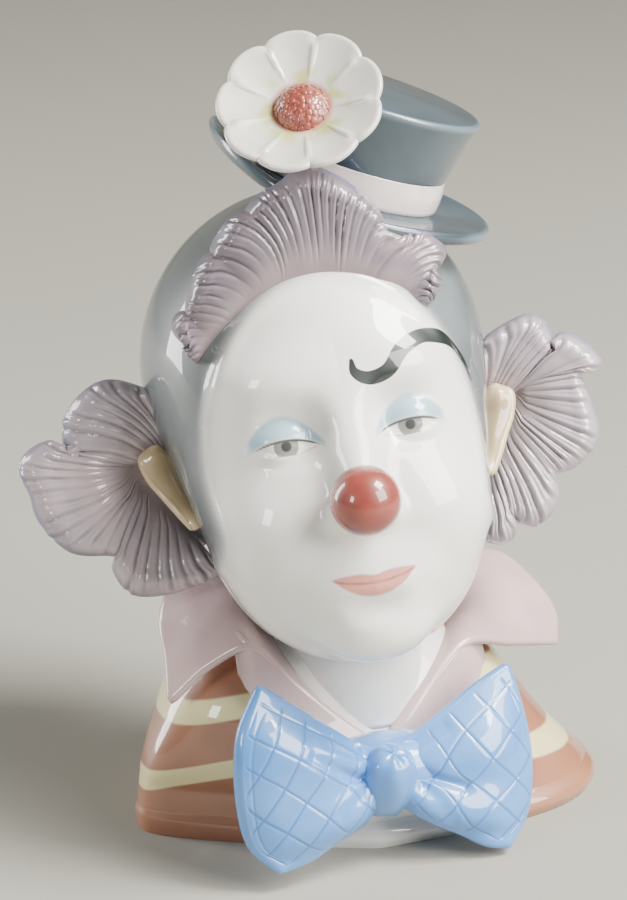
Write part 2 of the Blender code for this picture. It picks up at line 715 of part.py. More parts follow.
def flatFoot(piece):
    # Cuts the underside flat on Z = 0 and closes it.
    shape = bmesh.new()
    shape.from_mesh(piece.data)
    outerSkinOnly(shape)
    everything = shape.verts[:] + shape.edges[:] + shape.faces[:]
    cut = bmesh.ops.bisect_plane(
        shape, geom=everything, dist=1e-6, plane_co=(0, 0, 0), plane_no=(0, 0, 1), clear_inner=True
    )
    rim = [part for part in cut["geom_cut"] if isinstance(part, bmesh.types.BMEdge)]
    bmesh.ops.triangle_fill(shape, edges=rim, use_beauty=True, normal=(0, 0, -1))
    bmesh.ops.triangulate(shape, faces=shape.faces[:])
    bmesh.ops.recalc_face_normals(shape, faces=shape.faces[:])
    shape.to_mesh(piece.data)
    shape.free()


def glaze():
    material = bpy.data.materials.new("glazed_porcelain")
    material.use_nodes = True
    shader = material.node_tree.nodes["Principled BSDF"]
    shader.inputs["Base Color"].default_value = (0.86, 0.87, 0.85, 1)
    shader.inputs["Roughness"].default_value = 0.08
    shader.inputs["Metallic"].default_value = 0.0
    return material


def clownBust():
    forms = [head(), noseBall(), ear(-1), ear(1), neck(), bust()]
    forms += [frillShell(crest, crestRibs(), crestPleats)]
    forms += [frillShell(frill, earFrillRibs(frill), earFrillPleats) for frill in (rightFrill, leftFrill)]
    forms += [hat(), flower(), flowerButton(), flowerStalk()]
    forms += [collar()] + [collarStand(rays) for rays in collarStandRays]
    forms += [bowWing(rays, folds) for rays, folds in zip(bowWings, bowFolds)] + [bowKnot(), bowSeat()]
    piece = meshOf("clown_bust", forms)
    fused(piece)
    flatFoot(piece)
    piece.data.materials.clear()
    piece.data.materials.append(glaze())
    piece.data.shade_smooth()
    piece.data.set_sharp_from_angle(angle=math.radians(50))
    return piece


for leftover in list(bpy.data.objects):
    bpy.data.objects.remove(leftover)
clownBust()
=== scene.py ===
import math

import bpy
import numpy as np
from mathutils import Matrix, Vector


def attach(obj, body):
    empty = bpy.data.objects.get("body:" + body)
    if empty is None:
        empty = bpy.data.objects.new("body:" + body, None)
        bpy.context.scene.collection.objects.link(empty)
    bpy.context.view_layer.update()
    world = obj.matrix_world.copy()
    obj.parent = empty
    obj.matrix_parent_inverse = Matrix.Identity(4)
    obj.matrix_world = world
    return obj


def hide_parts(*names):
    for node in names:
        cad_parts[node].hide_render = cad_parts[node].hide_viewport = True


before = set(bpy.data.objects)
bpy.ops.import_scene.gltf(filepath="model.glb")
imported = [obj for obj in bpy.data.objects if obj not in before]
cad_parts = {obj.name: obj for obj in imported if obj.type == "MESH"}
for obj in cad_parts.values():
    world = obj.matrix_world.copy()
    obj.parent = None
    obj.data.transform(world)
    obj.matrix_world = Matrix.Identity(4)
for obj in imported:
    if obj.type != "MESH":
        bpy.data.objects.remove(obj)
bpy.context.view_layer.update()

print("solid loaded")

# The bust faces -Y, its left hand is at +X, and it stands on Z = 0. Free forms are drawn in mm.
mm = 0.001


def smoothCurve(points, count):
    points = np.asarray(points, float)
    last = len(points) - 1
    where = np.linspace(0.0, last, count)
    start = np.minimum(where.astype(int), last - 1)
    part = (where - start).reshape((-1,) + (1,) * (points.ndim - 1))
    padded = np.concatenate([2 * points[:1] - points[1:2], points, 2 * points[-1:] - points[-2:-1]])
    before, here, there, after = (padded[start + step] for step in range(4))
    return 0.5 * (
        2 * here
        + (there - before) * part
        + (2 * before - 5 * here + 4 * there - after) * part**2
        + (3 * here - before - 3 * there + after) * part**3
    )


def loftRays(rays, across, along):
    # Rays run from the root of a sheet to its rim; the result is a grid of points.
    return smoothCurve(np.stack([smoothCurve(ray, along) for ray in rays]), across)


def gridNormals(grid):
    normal = np.cross(np.gradient(grid, axis=0), np.gradient(grid, axis=1))
    return normal / np.maximum(np.linalg.norm(normal, axis=2, keepdims=True), 1e-12)


def smoothStep(low, high, value):
    share = np.clip((value - low) / (high - low), 0, 1)
    return share * share * (3 - 2 * share)


def outwards(points, quads, fans):
    # Turns the faces round if the closed shell is inside out.
    volume = 0.0
    for faces in (quads, fans):
        for second in range(1, faces.shape[1] - 1):
            a, b, c = points[faces[:, 0]], points[faces[:, second]], points[faces[:, second + 1]]
            volume += np.sum(a * np.cross(b, c))
    if volume < 0:
        quads, fans = quads[:, ::-1], fans[:, ::-1]
    return quads, fans


def thickSheet(grid, thickness, roundSteps=5):
    # A sheet with a half-round edge all the way round. Gives points, quads, fans, and for each
    # point the number of the grid point it comes from and the way it stands off the sheet.
    rows, columns = grid.shape[:2]
    normal = gridNormals(grid)
    half = np.broadcast_to(np.asarray(thickness, float) / 2, (rows, columns))
    number = np.arange(rows * columns).reshape(rows, columns)
    front = np.stack([number[:-1, :-1], number[1:, :-1], number[1:, 1:], number[:-1, 1:]], -1).reshape(-1, 4)
    back = front[:, ::-1] + rows * columns
    ring = np.array(
        [(row, 0) for row in range(rows)]
        + [(rows - 1, column) for column in range(1, columns)]
        + [(row, columns - 1) for row in range(rows - 2, -1, -1)]
        + [(0, column) for column in range(columns - 2, 0, -1)]
    )
    edge = grid[ring[:, 0], ring[:, 1]]
    up = normal[ring[:, 0], ring[:, 1]]
    out = np.cross(np.roll(edge, -1, axis=0) - np.roll(edge, 1, axis=0), up)
    out /= np.maximum(np.linalg.norm(out, axis=1, keepdims=True), 1e-12)
    inside = grid[np.clip(ring[:, 0], 1, rows - 2), np.clip(ring[:, 1], 1, columns - 2)]
    out *= np.where(np.sum(out * (edge - inside), axis=1) < 0, -1, 1)[:, None]
    reach = half[ring[:, 0], ring[:, 1]][:, None]
    ringNumber = number[ring[:, 0], ring[:, 1]]
    lift = normal * half[..., None]
    points = [(grid + lift).reshape(-1, 3), (grid - lift).reshape(-1, 3)]
    source = [number.ravel(), number.ravel()]
    stands = [normal.reshape(-1, 3), normal.reshape(-1, 3)]
    loops, total = [ringNumber], 2 * rows * columns
    for step in range(1, roundSteps + 1):
        angle = math.pi * step / (roundSteps + 1)
        points.append(edge + reach * (math.cos(angle) * up + math.sin(angle) * out))
        source.append(ringNumber)
        stands.append(up)
        loops.append(total + np.arange(len(ring)))
        total += len(ring)
    loops.append(ringNumber + rows * columns)
    rims = [
        np.stack([np.roll(near, -1), near, far, np.roll(far, -1)], -1)
        for near, far in zip(loops[:-1], loops[1:])
    ]
    points = np.concatenate(points)
    quads, fans = outwards(points, np.concatenate([front, back, *rims]), np.zeros((0, 3), int))
    return points, quads, fans, np.concatenate(source), np.concatenate(stands)


def closedLoft(rings):
    # Stacked loops of the same count; a fan of triangles closes each end.
    rings = np.asarray(rings, float)
    levels, around = rings.shape[:2]
    points = np.concatenate([rings.reshape(-1, 3), [rings[0].mean(axis=0)], [rings[-1].mean(axis=0)]])
    spoke = np.arange(around)
    after = (spoke + 1) % around
    quads = np.concatenate(
        [
            np.stack([low + spoke, low + after, low + around + after, low + around + spoke], -1)
            for low in range(0, (levels - 1) * around, around)
        ]
    )
    bottom = np.stack([np.full(around, levels * around), after, spoke], -1)
    last = (levels - 1) * around
    top = np.stack([np.full(around, levels * around + 1), last + spoke, last + after], -1)
    quads, fans = outwards(points, quads, np.concatenate([bottom, top]))
    return points, quads, fans


def newPiece(name, points, quads, fans, material, marks=None):
    # A smooth-shaded piece at the origin; marks are numbers or vectors held on its points.
    mesh = bpy.data.meshes.new(name)
    mesh.vertices.add(len(points))
    mesh.vertices.foreach_set("co", np.ascontiguousarray(points, dtype=np.float32).ravel())
    corners = np.concatenate([quads.ravel(), fans.ravel()]).astype(np.int32)
    starts = np.concatenate([np.arange(len(quads)) * 4, quads.size + np.arange(len(fans)) * 3])
    starts = starts.astype(np.int32)
    mesh.loops.add(len(corners))
    mesh.loops.foreach_set("vertex_index", corners)
    mesh.polygons.add(len(starts))
    mesh.polygons.foreach_set("loop_start", starts)
    mesh.update(calc_edges=True)
    mesh.validate()
    for key, values in (marks or {}).items():
        values = np.asarray(values, np.float32)
        kind, field = ("FLOAT_VECTOR", "vector") if values.ndim == 2 else ("FLOAT", "value")
        mesh.attributes.new(key, kind, "POINT").data.foreach_set(field, values.ravel())
    mesh.shade_smooth()
    mesh.materials.append(material)
    piece = bpy.data.objects.new(name, mesh)
    bpy.context.scene.collection.objects.link(piece)
    return piece


def joined(*shells):
    # Several shells as one; each is (points, quads, fans) with any marks left out.
    points, quads, fans, start = [], [], [], 0
    for shell in shells:
        points.append(shell[0])
        quads.append(shell[1] + start)
        fans.append(shell[2] + start)
        start += len(shell[0])
    return np.concatenate(points), np.concatenate(quads), np.concatenate(fans)


def placed(matrix, points):
    matrix = np.array(matrix)
    return np.asarray(points, float) @ matrix[:3, :3].T + matrix[:3, 3]


def standAt(centre, upwards, forwards):
    up = Vector(upwards).normalized()
    right = up.cross(Vector(forwards)).normalized()
    turned = Matrix((right, up.cross(right), up)).transposed().to_4x4()
    turned.translation = Vector(centre)
    return turned


def partOfBust(piece):
    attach(piece, "root")
    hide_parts("clown_bust")
    return piece


def addNode(tree, kind, settings=None, values=None, links=None):
    # One node with its settings, its unlinked inputs and what feeds the others.
    node = tree.nodes.new(kind)
    for key, value in (settings or {}).items():
        setattr(node, key, value)
    for key, value in (values or {}).items():
        node.inputs[key].default_value = value
    for key, source in (links or {}).items():
        tree.links.new(source, node.inputs[key])
    return node


def newTree(name, inputs):
    tree = bpy.data.node_groups.new(name, "GeometryNodeTree")
    tree.interface.new_socket("Geometry", in_out="INPUT", socket_type="NodeSocketGeometry")
    for key, kind in inputs.items():
        tree.interface.new_socket(key, in_out="INPUT", socket_type=kind)
    tree.interface.new_socket("Geometry", in_out="OUTPUT", socket_type="NodeSocketGeometry")
    return tree, tree.nodes.new("NodeGroupInput"), tree.nodes.new("NodeGroupOutput")


def grown(piece, tree, values):
    # Runs the tree on the piece and keeps the result as its plain mesh.
    modifier = piece.modifiers.new(tree.name, "NODES")
    modifier.node_group = tree
    sockets = {item.name: item.identifier for item in tree.interface.items_tree if item.in_out == "INPUT"}
    for key, value in values.items():
        modifier[sockets[key]] = value
    bpy.context.view_layer.update()
    graph = bpy.context.evaluated_depsgraph_get()
    piece.data = bpy.data.meshes.new_from_object(piece.evaluated_get(graph))
    piece.modifiers.clear()
    piece.data.shade_smooth()
    return piece


def fromHex(code):
    # sRGB hex to the linear colour that shaders take
    parts = [int(code[place:place + 2], 16) / 255 for place in (1, 3, 5)]
    linear = [part / 12.92 if part <= 0.04045 else ((part + 0.055) / 1.055) ** 2.4 for part in parts]
    return (*linear, 1.0)


glaze = {
    "clearCoat": 1.0,        # a full layer of clear glaze
    "coatRoughness": 0.035,
    "coatIor": 1.52,
    "bodyRoughness": 0.42,   # the painted biscuit under the glaze
    "bodyIor": 1.50,
    "mottleSize": 34.0,      # mm, from one airbrushed cloud to the next
}


def glazedPorcelain(name):
    # Slip-cast porcelain under clear glaze: soft even colour below a hard mirror-like skin.
    material = bpy.data.materials.new(name)
    material.use_nodes = True
    tree = material.node_tree
    shader = tree.nodes["Principled BSDF"]
    shader.inputs["Metallic"].default_value = 0.0
    shader.inputs["Roughness"].default_value = glaze["bodyRoughness"]
    shader.inputs["IOR"].default_value = glaze["bodyIor"]
    shader.inputs["Coat Weight"].default_value = glaze["clearCoat"]
    shader.inputs["Coat Roughness"].default_value = glaze["coatRoughness"]
    shader.inputs["Coat IOR"].default_value = glaze["coatIor"]
    return material, tree, shader


def blendColour(tree, share, first, second):
    # Mixes two colours, each a hex code or a socket.
    node = addNode(tree, "ShaderNodeMix", {"data_type": "RGBA"}, links={0: share})
    for place, colour in ((6, first), (7, second)):
        if isinstance(colour, str):
            node.inputs[place].default_value = fromHex(colour)
        else:
            tree.links.new(colour, node.inputs[place])
    return node.outputs[2]


def ramp(tree, value, low, high):
    # 0 below low, 1 above high, smooth between
    return addNode(
        tree, "ShaderNodeMapRange", {"interpolation_type": "SMOOTHSTEP"},
        {"From Min": low, "From Max": high}, {"Value": value},
    ).outputs["Result"]


def mark(tree, name):
    return addNode(tree, "ShaderNodeAttribute", {"attribute_name": name}).outputs["Fac"]


def mottle(tree, size=None, detail=3.0, seed=0.0):
    # Clouds of airbrushed colour on object coordinates, size in mm
    where = addNode(tree, "ShaderNodeTexCoord").outputs["Object"]
    moved = addNode(
        tree, "ShaderNodeMapping", values={"Location": (seed, seed * 0.7, -seed)}, links={"Vector": where}
    )
    scale = 1.0 / ((size or glaze["mottleSize"]) * mm)
    noise = addNode(
        tree, "ShaderNodeTexNoise", values={"Scale": scale, "Detail": detail, "Roughness": 0.45},
        links={"Vector": moved.outputs["Vector"]},
    )
    return noise.outputs["Fac"]


def sprayed(name, first, second, size, detail=3.0, seed=0.0, low=0.3, high=0.7):
    # Glazed paint whose two close tones meet in soft airbrushed clouds, sized in mm.
    material, tree, shader = glazedPorcelain(name)
    tone = blendColour(tree, ramp(tree, mottle(tree, size, detail, seed), low, high), first, second)
    return material, tree, shader, tone


def finishPaint(tree, shader, tone):
    tree.links.new(tone, shader.inputs["Base Color"])


head = {
    "radius": 60.0,                    # mm, the unit the head is drawn in
    "centre": (-16.0, 8.0, 158.8),     # mm, middle of the skull
    "nodLeanTurn": (-18.2, -7.4, -12.3),
    "rings": 268,
    "around": 330,
    "eyeOut": 20.5,                    # mm from the middle to each eye's middle
    "eyeHalf": 10.5,                   # mm, half the width of an eye
    "irisRadius": 4.1,
    "pupilRadius": 1.75,
    "capOpening": (44.5, 60.0),        # mm, half width and half height of the oval the face shows in
    "jawOpening": (16.0, 35.0),        # mm, how much further the white of the face runs on at the jaw
    "brow": [
        (4.5, -0.5), (5.0, -4.5), (9.5, -7.0), (16, -5.5), (22, 0.5), (30, 3.2), (38, 0),
        (43.5, -7), (46, -15),
    ],
    "browWidth": [1.5, 3.3, 4.6, 5.0, 5.2, 4.8, 3.6, 2.2, 0.7],
    "face": "#FAF9F4",
    "faceCloud": "#F3F3EE",
    "cap": "#757D80",
    "capShade": "#5F676A",
    "capRidge": 1.0,                   # mm, the soft raised line where the cap meets the face
    "lid": "#A4C3D2",
    "lash": "#4A4E50",
    "iris": "#8B8D86",
    "pupil": "#3C403F",
    "lips": "#D8968A",
    "parting": "#A8665C",
    "browPaint": "#16201F",
}

headPlace = (
    Matrix.Translation(Vector(head["centre"]) * mm)
    @ Matrix.Rotation(math.radians(head["nodLeanTurn"][2]), 4, "Z")
    @ Matrix.Rotation(math.radians(head["nodLeanTurn"][1]), 4, "Y")
    @ Matrix.Rotation(math.radians(head["nodLeanTurn"][0]), 4, "X")
    @ Matrix.Scale(head["radius"] / 60.0 * mm, 4)
)


def ellipsoid(points, centre, radii):
    scaled = (points - np.array(centre)) / np.array(radii)
    near = np.linalg.norm(scaled, axis=-1)
    far = np.linalg.norm(scaled / np.array(radii), axis=-1)
    return near * (near - 1.0) / np.maximum(far, 1e-9)


def rod(points, start, end, radius):
    start, end = np.array(start, float), np.array(end, float)
    along = end - start
    share = np.clip(((points - start) @ along) / (along @ along), 0.0, 1.0)
    return np.linalg.norm(points - start - share[..., None] * along, axis=-1) - radius


def merge(first, second, softness):
    overlap = np.maximum(softness - np.abs(first - second), 0.0) / softness
    return np.minimum(first, second) - overlap**2 * softness / 4


def carve(body, cutter, softness):
    return -merge(-body, cutter, softness)


def overlap(first, second, softness):
    return -merge(-first, -second, softness)


def lidLines(x):
    # Heights of the upper and lower lid edge and of the crease, and how far along the eye x is
    along = (np.abs(x) - head["eyeOut"]) / head["eyeHalf"]
    upper = -22.3 - 2.5 * along**2 + 0.3 * along
    lower = -27.4 + 2.4 * along**2 + 0.3 * along
    crease = -14.0 - 6.5 * along**2 + 1.2 * along
    return upper, lower, crease, along


def mouthLine(x):
    return -72.0 + 2.4 * (x / 14.0) ** 2


def headForm(points):
    # Signed distance to the head and its calm, regular face, in mm.
    mirrored = np.concatenate([np.abs(points[..., :1]), points[..., 1:]], axis=-1)
    x, z = mirrored[..., 0], mirrored[..., 2]
    upper, lower, _, _ = lidLines(x)
    form = ellipsoid(mirrored, (0, 5, 0), (58.6, 65.5, 59.6))
    form = merge(form, ellipsoid(mirrored, (0, -17, -38), (50, 45.5, 58)), 16)
    form = merge(form, ellipsoid(mirrored, (0, -26, -66), (37, 34, 33)), 14)
    form = merge(form, ellipsoid(mirrored, (22, -40, -51), (20, 19.5, 18)), 14)
    form = merge(form, ellipsoid(mirrored, (15, -47.5, -4), (18, 11, 9)), 12)
    form = merge(form, ellipsoid(mirrored, (0, -46, -88), (16, 13, 11)), 10)
    form = merge(form, ellipsoid(mirrored, (0, -50, -70), (19, 12.5, 13)), 10)
    form = carve(form, ellipsoid(mirrored, (20.5, -68.0, -20), (15, 11, 8.5)), 8)
    form = merge(form, ellipsoid(mirrored, (20.5, -47.0, -24), (11.5, 12.0, 10.5)), 2)
    lid = overlap(ellipsoid(mirrored, (20.5, -46.6, -23.5), (13.2, 13.3, 11.8)), (upper - z) * 0.9, 1.0)
    form = merge(form, lid, 1.4)
    lowLid = overlap(ellipsoid(mirrored, (20.5, -46.8, -24.5), (12.6, 12.6, 11.4)), (z - lower) * 0.9, 1.0)
    form = merge(form, lowLid, 1.2)
    form = merge(form, rod(mirrored, (0, -55, -10), (0, -65, -42), 5.6), 10)
    form = merge(form, ellipsoid(mirrored, (6.2, -63, -49.5), (5.5, 6, 4.4)), 5)
    form = merge(form, rod(mirrored, (0, -61.0, -69.4), (13.5, -57.2, -68.2), 2.5), 2.6)
    form = merge(form, rod(mirrored, (0, -60.6, -74.4), (10, -58.2, -72.3), 3.0), 2.6)
    form = carve(form, ellipsoid(mirrored, (0, -67.5, -81.5), (12, 7, 3.6)), 6)
    return form


def surfaceAlong(field, centre, directions, reach):
    distance = np.full(directions.shape[:-1], reach)
    for _ in range(70):
        distance = distance - 0.8 * field(np.array(centre) + directions * distance[..., None])
    return np.array(centre) + directions * distance[..., None]


def headRings(rings, around):
    # The loft's poles are at the face and the nape, so the face has the closest rings.
    share = np.linspace(0.0, 1.0, rings)
    polar = np.radians(0.4 + 179.2 * (0.55 * share + 0.45 * share**3))
    turn = np.linspace(0.0, 2 * math.pi, around, endpoint=False)
    directions = np.stack(
        [
            np.sin(polar)[:, None] * np.cos(turn)[None, :],
            -np.cos(polar)[:, None] * np.ones(around)[None, :],
            np.sin(polar)[:, None] * np.sin(turn)[None, :],
        ],
        axis=-1,
    )
    return surfaceAlong(headForm, (0.0, -8.0, -28.0), directions, 118.0)


def facePaint(points):
    # Distances in mm, positive inside each painted shape, in the plane the face is seen in
    x, y, z = points.T
    front = y < -25
    upper, lower, crease, along = lidLines(x)
    far = np.full(len(points), -9.0)
    browLine = smoothCurve(head["brow"], 160)
    browHalf = smoothCurve(head["browWidth"], 160) / 2
    near = front & (x > 0) & (z > -24) & (z < 12)
    brow = far.copy()
    gap = np.linalg.norm(points[near][:, None, (0, 2)] - browLine[None], axis=-1)
    brow[near] = np.max(browHalf - gap, axis=1)
    lidEnds = (1.18 - np.abs(along)) * head["eyeHalf"]
    lid = np.where(front, np.minimum(np.minimum(z - upper, crease - z), lidEnds * 0.8), far)
    lashHalf = 0.42 * smoothStep(1.15, 0.7, np.abs(along)) + 0.06
    lash = np.where(front, np.minimum(lashHalf - np.abs(z - upper), lidEnds), far)
    lowLash = np.where(front, np.minimum(0.16 - np.abs(z - lower), (0.9 - np.abs(along)) * head["eyeHalf"]), far)
    opening = np.where(front, np.minimum(upper - z, z - lower), far)
    fromIris = np.hypot(np.abs(x) - head["eyeOut"], z + 24.2)
    iris = np.minimum(np.where(front, head["irisRadius"] - fromIris, far), opening)
    pupil = np.minimum(np.where(front, head["pupilRadius"] - fromIris, far), opening)
    middle = mouthLine(x)
    width = np.clip(1 - (x / 14.5) ** 2, 0, 1)
    topLip = middle + 3.6 * width**0.75 * (1 - 0.28 * np.exp(-((x / 3.2) ** 2)))
    lowLip = middle - 4.6 * np.clip(1 - (x / 13.0) ** 2, 0, 1) ** 0.8
    lips = np.where(front, np.minimum(np.minimum(topLip - z, z - lowLip), 14.3 - np.abs(x)), far)
    parting = np.where(front, np.minimum(0.38 - np.abs(z - middle), 13.5 - np.abs(x)), far)
    jaw = smoothStep(-48, -82, z)      # the white of the face runs on under the jaw
    across, down = (size + more * jaw for size, more in zip(head["capOpening"], head["jawOpening"]))
    oval = np.sqrt((x / across) ** 2 + ((z + 32) / down) ** 2)
    cap = np.maximum((oval - 1) * 50, (y + 14) * 0.9)
    return {
        "browPaint": brow, "lid": lid, "lash": np.maximum(lash, lowLash), "iris": iris, "pupil": pupil,
        "lips": lips, "parting": parting, "cap": cap,
    }


def paintedHead():
    material, tree, shader = glazedPorcelain("glazed_porcelain_painted_face")
    clouds = mottle(tree, 30.0)
    skin = blendColour(tree, ramp(tree, clouds, 0.3, 0.75), head["face"], head["faceCloud"])
    capTone = blendColour(tree, ramp(tree, clouds, 0.3, 0.7), head["cap"], head["capShade"])
    colour = blendColour(tree, ramp(tree, mark(tree, "cap"), -3.0, 5.0), skin, capTone)
    # Each mark is laid over the last; its paint fades from none to full between two distances in mm.
    for name, outside, inside in (
        ("lid", -0.6, 1.6), ("iris", -0.15, 0.25), ("pupil", -0.2, 0.3), ("lash", -0.15, 0.3),
        ("lips", -0.35, 0.5), ("parting", -0.3, 0.35), ("browPaint", -0.12, 0.22),
    ):
        colour = blendColour(tree, ramp(tree, mark(tree, name), outside, inside), colour, head[name])
    finishPaint(tree, shader, colour)
    points, quads, fans = closedLoft(headRings(head["rings"], head["around"]))
    paint = facePaint(points)
    away = points - (0, -8, -28)
    away /= np.linalg.norm(away, axis=1, keepdims=True)
    points = points + away * (head["capRidge"] * np.exp(-((paint["cap"] / 2.4) ** 2)))[:, None]
    return partOfBust(newPiece("painted_head", placed(headPlace, points), quads, fans, material, paint))


paintedHead()
print("head painted")


nose = {"centre": (0.0, -73.0, -45.0), "radius": 11.5, "red": "#96443A", "deep": "#82382F"}


def ballShell(centre, radii, place, rings=60, around=88, grow=None, plumpness=1.0):
    # A plumpness under one squares the ball's shoulders towards a barrel.
    polar = np.linspace(0.012, math.pi - 0.012, rings)
    girth = np.sin(polar)[:, None] ** plumpness
    turn = np.linspace(0, 2 * math.pi, around, endpoint=False)
    unit = np.stack(
        [
            girth * np.cos(turn),
            girth * np.sin(turn),
            np.cos(polar)[:, None] * np.ones(around),
        ],
        axis=-1,
    )
    size = 1.0 if grow is None else grow(unit)[..., None]
    points, quads, fans = closedLoft(unit * size * radii + centre)
    return placed(place, points), quads, fans


def redNose():
    material, tree, shader, colour = sprayed("glazed_porcelain_red", nose["red"], nose["deep"], 9.0)
    finishPaint(tree, shader, colour)
    shell = ballShell(nose["centre"], (nose["radius"],) * 3, headPlace)
    return partOfBust(newPiece("red_nose", *shell, material))


redNose()


ear = {
    "thickness": 3.4,
    "scoop": 1.5,            # mm, how deep the shell is hollowed
    "biscuit": "#D8C196",
    "shade": "#A28E6C",
    "rays": [
        [(56, -4, -21.5), (58.5, -6, -20), (60.5, -4.5, -20.5)],
        [(53, -5, -24.5), (58.5, -9, -22.5), (63.5, -6, -23)],
        [(52, -6, -29), (57, -10, -28.5), (62, -7, -29.5)],
        [(50.5, -8, -35), (54.5, -11.5, -35), (58.5, -9, -35.5)],
        [(49, -10, -41), (52, -13, -41.5), (55, -12, -41.5)],
        [(48, -12, -45.5), (50, -14.5, -46.5), (51.5, -14, -47)],
    ],
}


def earMaterial():
    material, tree, shader = glazedPorcelain("glazed_porcelain_beige")
    # Painted shade: the middle of the scooped shell is painted darker.
    colour = blendColour(tree, ramp(tree, mark(tree, "hollow"), 0.1, 0.9), ear["biscuit"], ear["shade"])
    finishPaint(tree, shader, colour)
    return material


def oneEar(name, side, material):
    rows, columns = 70, 26
    grid = loftRays(np.array(ear["rays"]) * (side, 1, 1), rows, columns)
    down = np.sin(math.pi * np.linspace(0, 1, rows))[:, None]
    across = np.sin(math.pi * np.linspace(0, 1, columns))[None, :]
    grid = grid + np.array([0, 1.0, 0]) * (ear["scoop"] * down * across)[..., None]
    points, quads, fans, source, _ = thickSheet(grid, ear["thickness"] * (0.62 + 0.38 * (1 - down * across)))
    # How far into the hollow of the shell each point lies, for the painted shade.
    hollow = (down * across).ravel()[source]
    return partOfBust(newPiece(name, placed(headPlace, points), quads, fans, material, {"hollow": hollow}))


beige = earMaterial()
oneEar("right_ear", -1, beige)
oneEar("left_ear", 1, beige)
print("nose and ears done")


frill = {
    "thickness": 3.0,        # mm
    "rimThickness": 3.5,     # mm, the smooth rolled edge
    "depth": 1.5,            # mm, from the top of a rib to its groove
    "ruffle": 3.6,           # mm, from the middle of a lobe to the notch beside it
    "crestPleats": 32,
    "earPleats": 28,
    "perPleat": 11,
    "along": 66,
    "crestFan": 0.34,        # how much closer together the ribs start than they end
    "earFan": 0.12,
    "crestRibs": (0.14, 0.62, 0.78, 0.92),   # shares of the way out: begin, full, still full, gone
    "earRibs": (0.20, 0.52, 0.84, 0.965),
    # The groove colours are painted shade for the valleys between the ribs.
    "crestPaint": {
        "rib": "#7C717B", "groove": "#5F5561", "blush": "#9C868D", "root": "#98868C", "rim": "#6F6B83",
    },
    "earPaint": {
        "rib": "#AB9FA7", "groove": "#958A93", "blush": "#C4B0B4", "root": "#A4979A", "rim": "#918DA2",
    },
}

# Each frill from the front of the head. The root is a curve of x and z; the rim is given by its angle round
# the middle, in degrees, and its reach, rib by rib; the bend is how far the ribs bow out of straight.
crest = {
    "middle": (-1, -12),
    "root": [(-42, 8), (-26, 20), (-10, 26.5), (6, 25), (21, 19.5), (31, 13.5)],
    "rim": [
        (150, 51), (142, 55.5), (135, 55.5), (128, 58), (121, 62), (114, 63), (108, 66.5), (101, 69),
        (94, 70), (88, 73), (82, 70), (75, 66), (68, 62), (58, 57), (50, 61), (43, 59), (40.5, 52), (35, 47),
    ],
    "bend": [0.09, 0.02, -0.08, -0.15, -0.06, 0.0, 0.03, 0.05, 0.03, 0.06],
    "notches": [0.08, 0.24, 0.37, 0.74, 0.92],
    "side": 1,
}

rightFrill = {
    "middle": (54, -36),
    "root": [(49.5, -27.5), (55.5, -26), (63, -24), (64.5, -29.5), (61, -38), (49, -55)],
    "rim": [
        (87, 35.5), (68, 42.5), (54, 43.5), (41, 42), (30, 39), (30.5, 46), (21, 51), (11, 46.5),
        (0, 44.5), (-17, 39), (-33, 30), (-42, 32), (-56, 34), (-72, 31.5), (-90, 30), (-110, 31.5),
    ],
    "bend": [0.05, 0.13, 0.14, -0.01, -0.05, -0.04, 0.03, 0.0, 0.01, 0.05],
    "notches": [0.27, 0.68],
    "side": -1,
}

leftFrill = {
    "middle": (54, -36),
    "root": [(54.5, -23), (60, -25.5), (65, -22), (64, -28), (58, -39), (50.5, -52.5)],
    "rim": [
        (80, 34.5), (60, 41.5), (51, 40), (43.5, 38.5), (40, 42.5), (24, 45), (22.5, 38), (8, 35.5),
        (-9, 35.5), (-25, 31), (-39, 27), (-55, 31), (-71, 32), (-82, 29), (-89, 33.5), (-99, 36),
    ],
    "bend": [0.03, 0.09, 0.05, 0.05, 0.01, -0.03, -0.02, 0.0, 0.0, 0.0],
    "notches": [0.20, 0.38, 0.67, 0.87],
    "side": 1,
}

# How far forward the sheets stand at rising shares of the way out; the last of each sheet rolls back.
wayOut = (0.0, 0.24, 0.5, 0.76, 0.92, 1.0)
crestDepths = (-50, -54, -56, -57, -57, -52.5)
earFrillDepths = (3, -1, -4, -5, -5, -1)
crestWrap = 11.0                # mm, how far the crest's ends are carried back round the skull
frillStarts = (-26, -54)        # heights at which an ear's frill starts inside the head, top and bottom


def ribsOf(frill, depths):
    # Ribs as rows of points from the root to the rim.
    count = len(frill["rim"])
    roots, bends = smoothCurve(frill["root"], count), smoothCurve(frill["bend"], count)
    ribs = []
    for root, bend, (degrees, reach) in zip(roots, bends, frill["rim"]):
        angle = math.radians(degrees)
        chord = np.array(frill["middle"]) + reach * np.array([math.cos(angle), math.sin(angle)]) - root
        bow = 4 * bend * np.array([-chord[1], chord[0]])
        rib = []
        for share, depth in zip(wayOut, depths):
            x, z = root + chord * share + bow * share * (1 - share)
            rib.append((frill["side"] * x, depth, z))
        ribs.append(rib)
    return ribs


def crestRibs():
    # The crest follows the brow of the skull round, and its root lies in the forehead.
    ribs = ribsOf(crest, crestDepths)
    return [[(x, y + crestWrap * (min(abs(x), 45) / 40) ** 2, z) for x, y, z in rib] for rib in ribs]


def earFrillRibs(frill):
    # An ear's frill starts inside the head, behind the ear.
    ribs = ribsOf(frill, earFrillDepths)
    starts = np.linspace(*frillStarts, len(ribs))
    return [[(frill["side"] * 47, 7, start)] + rib for start, rib in zip(starts, ribs)]


def ruffled(across, notches):
    # One at the middle of each lobe, nought at each notch.
    ends = np.array([0.0] + notches + [1.0])
    lobe = np.clip(np.searchsorted(ends, across, side="right") - 1, 0, len(ends) - 2)
    share = (across - ends[lobe]) / (ends[lobe + 1] - ends[lobe])
    return np.sin(math.pi * np.clip(share, 0.0, 1.0)) ** 0.7


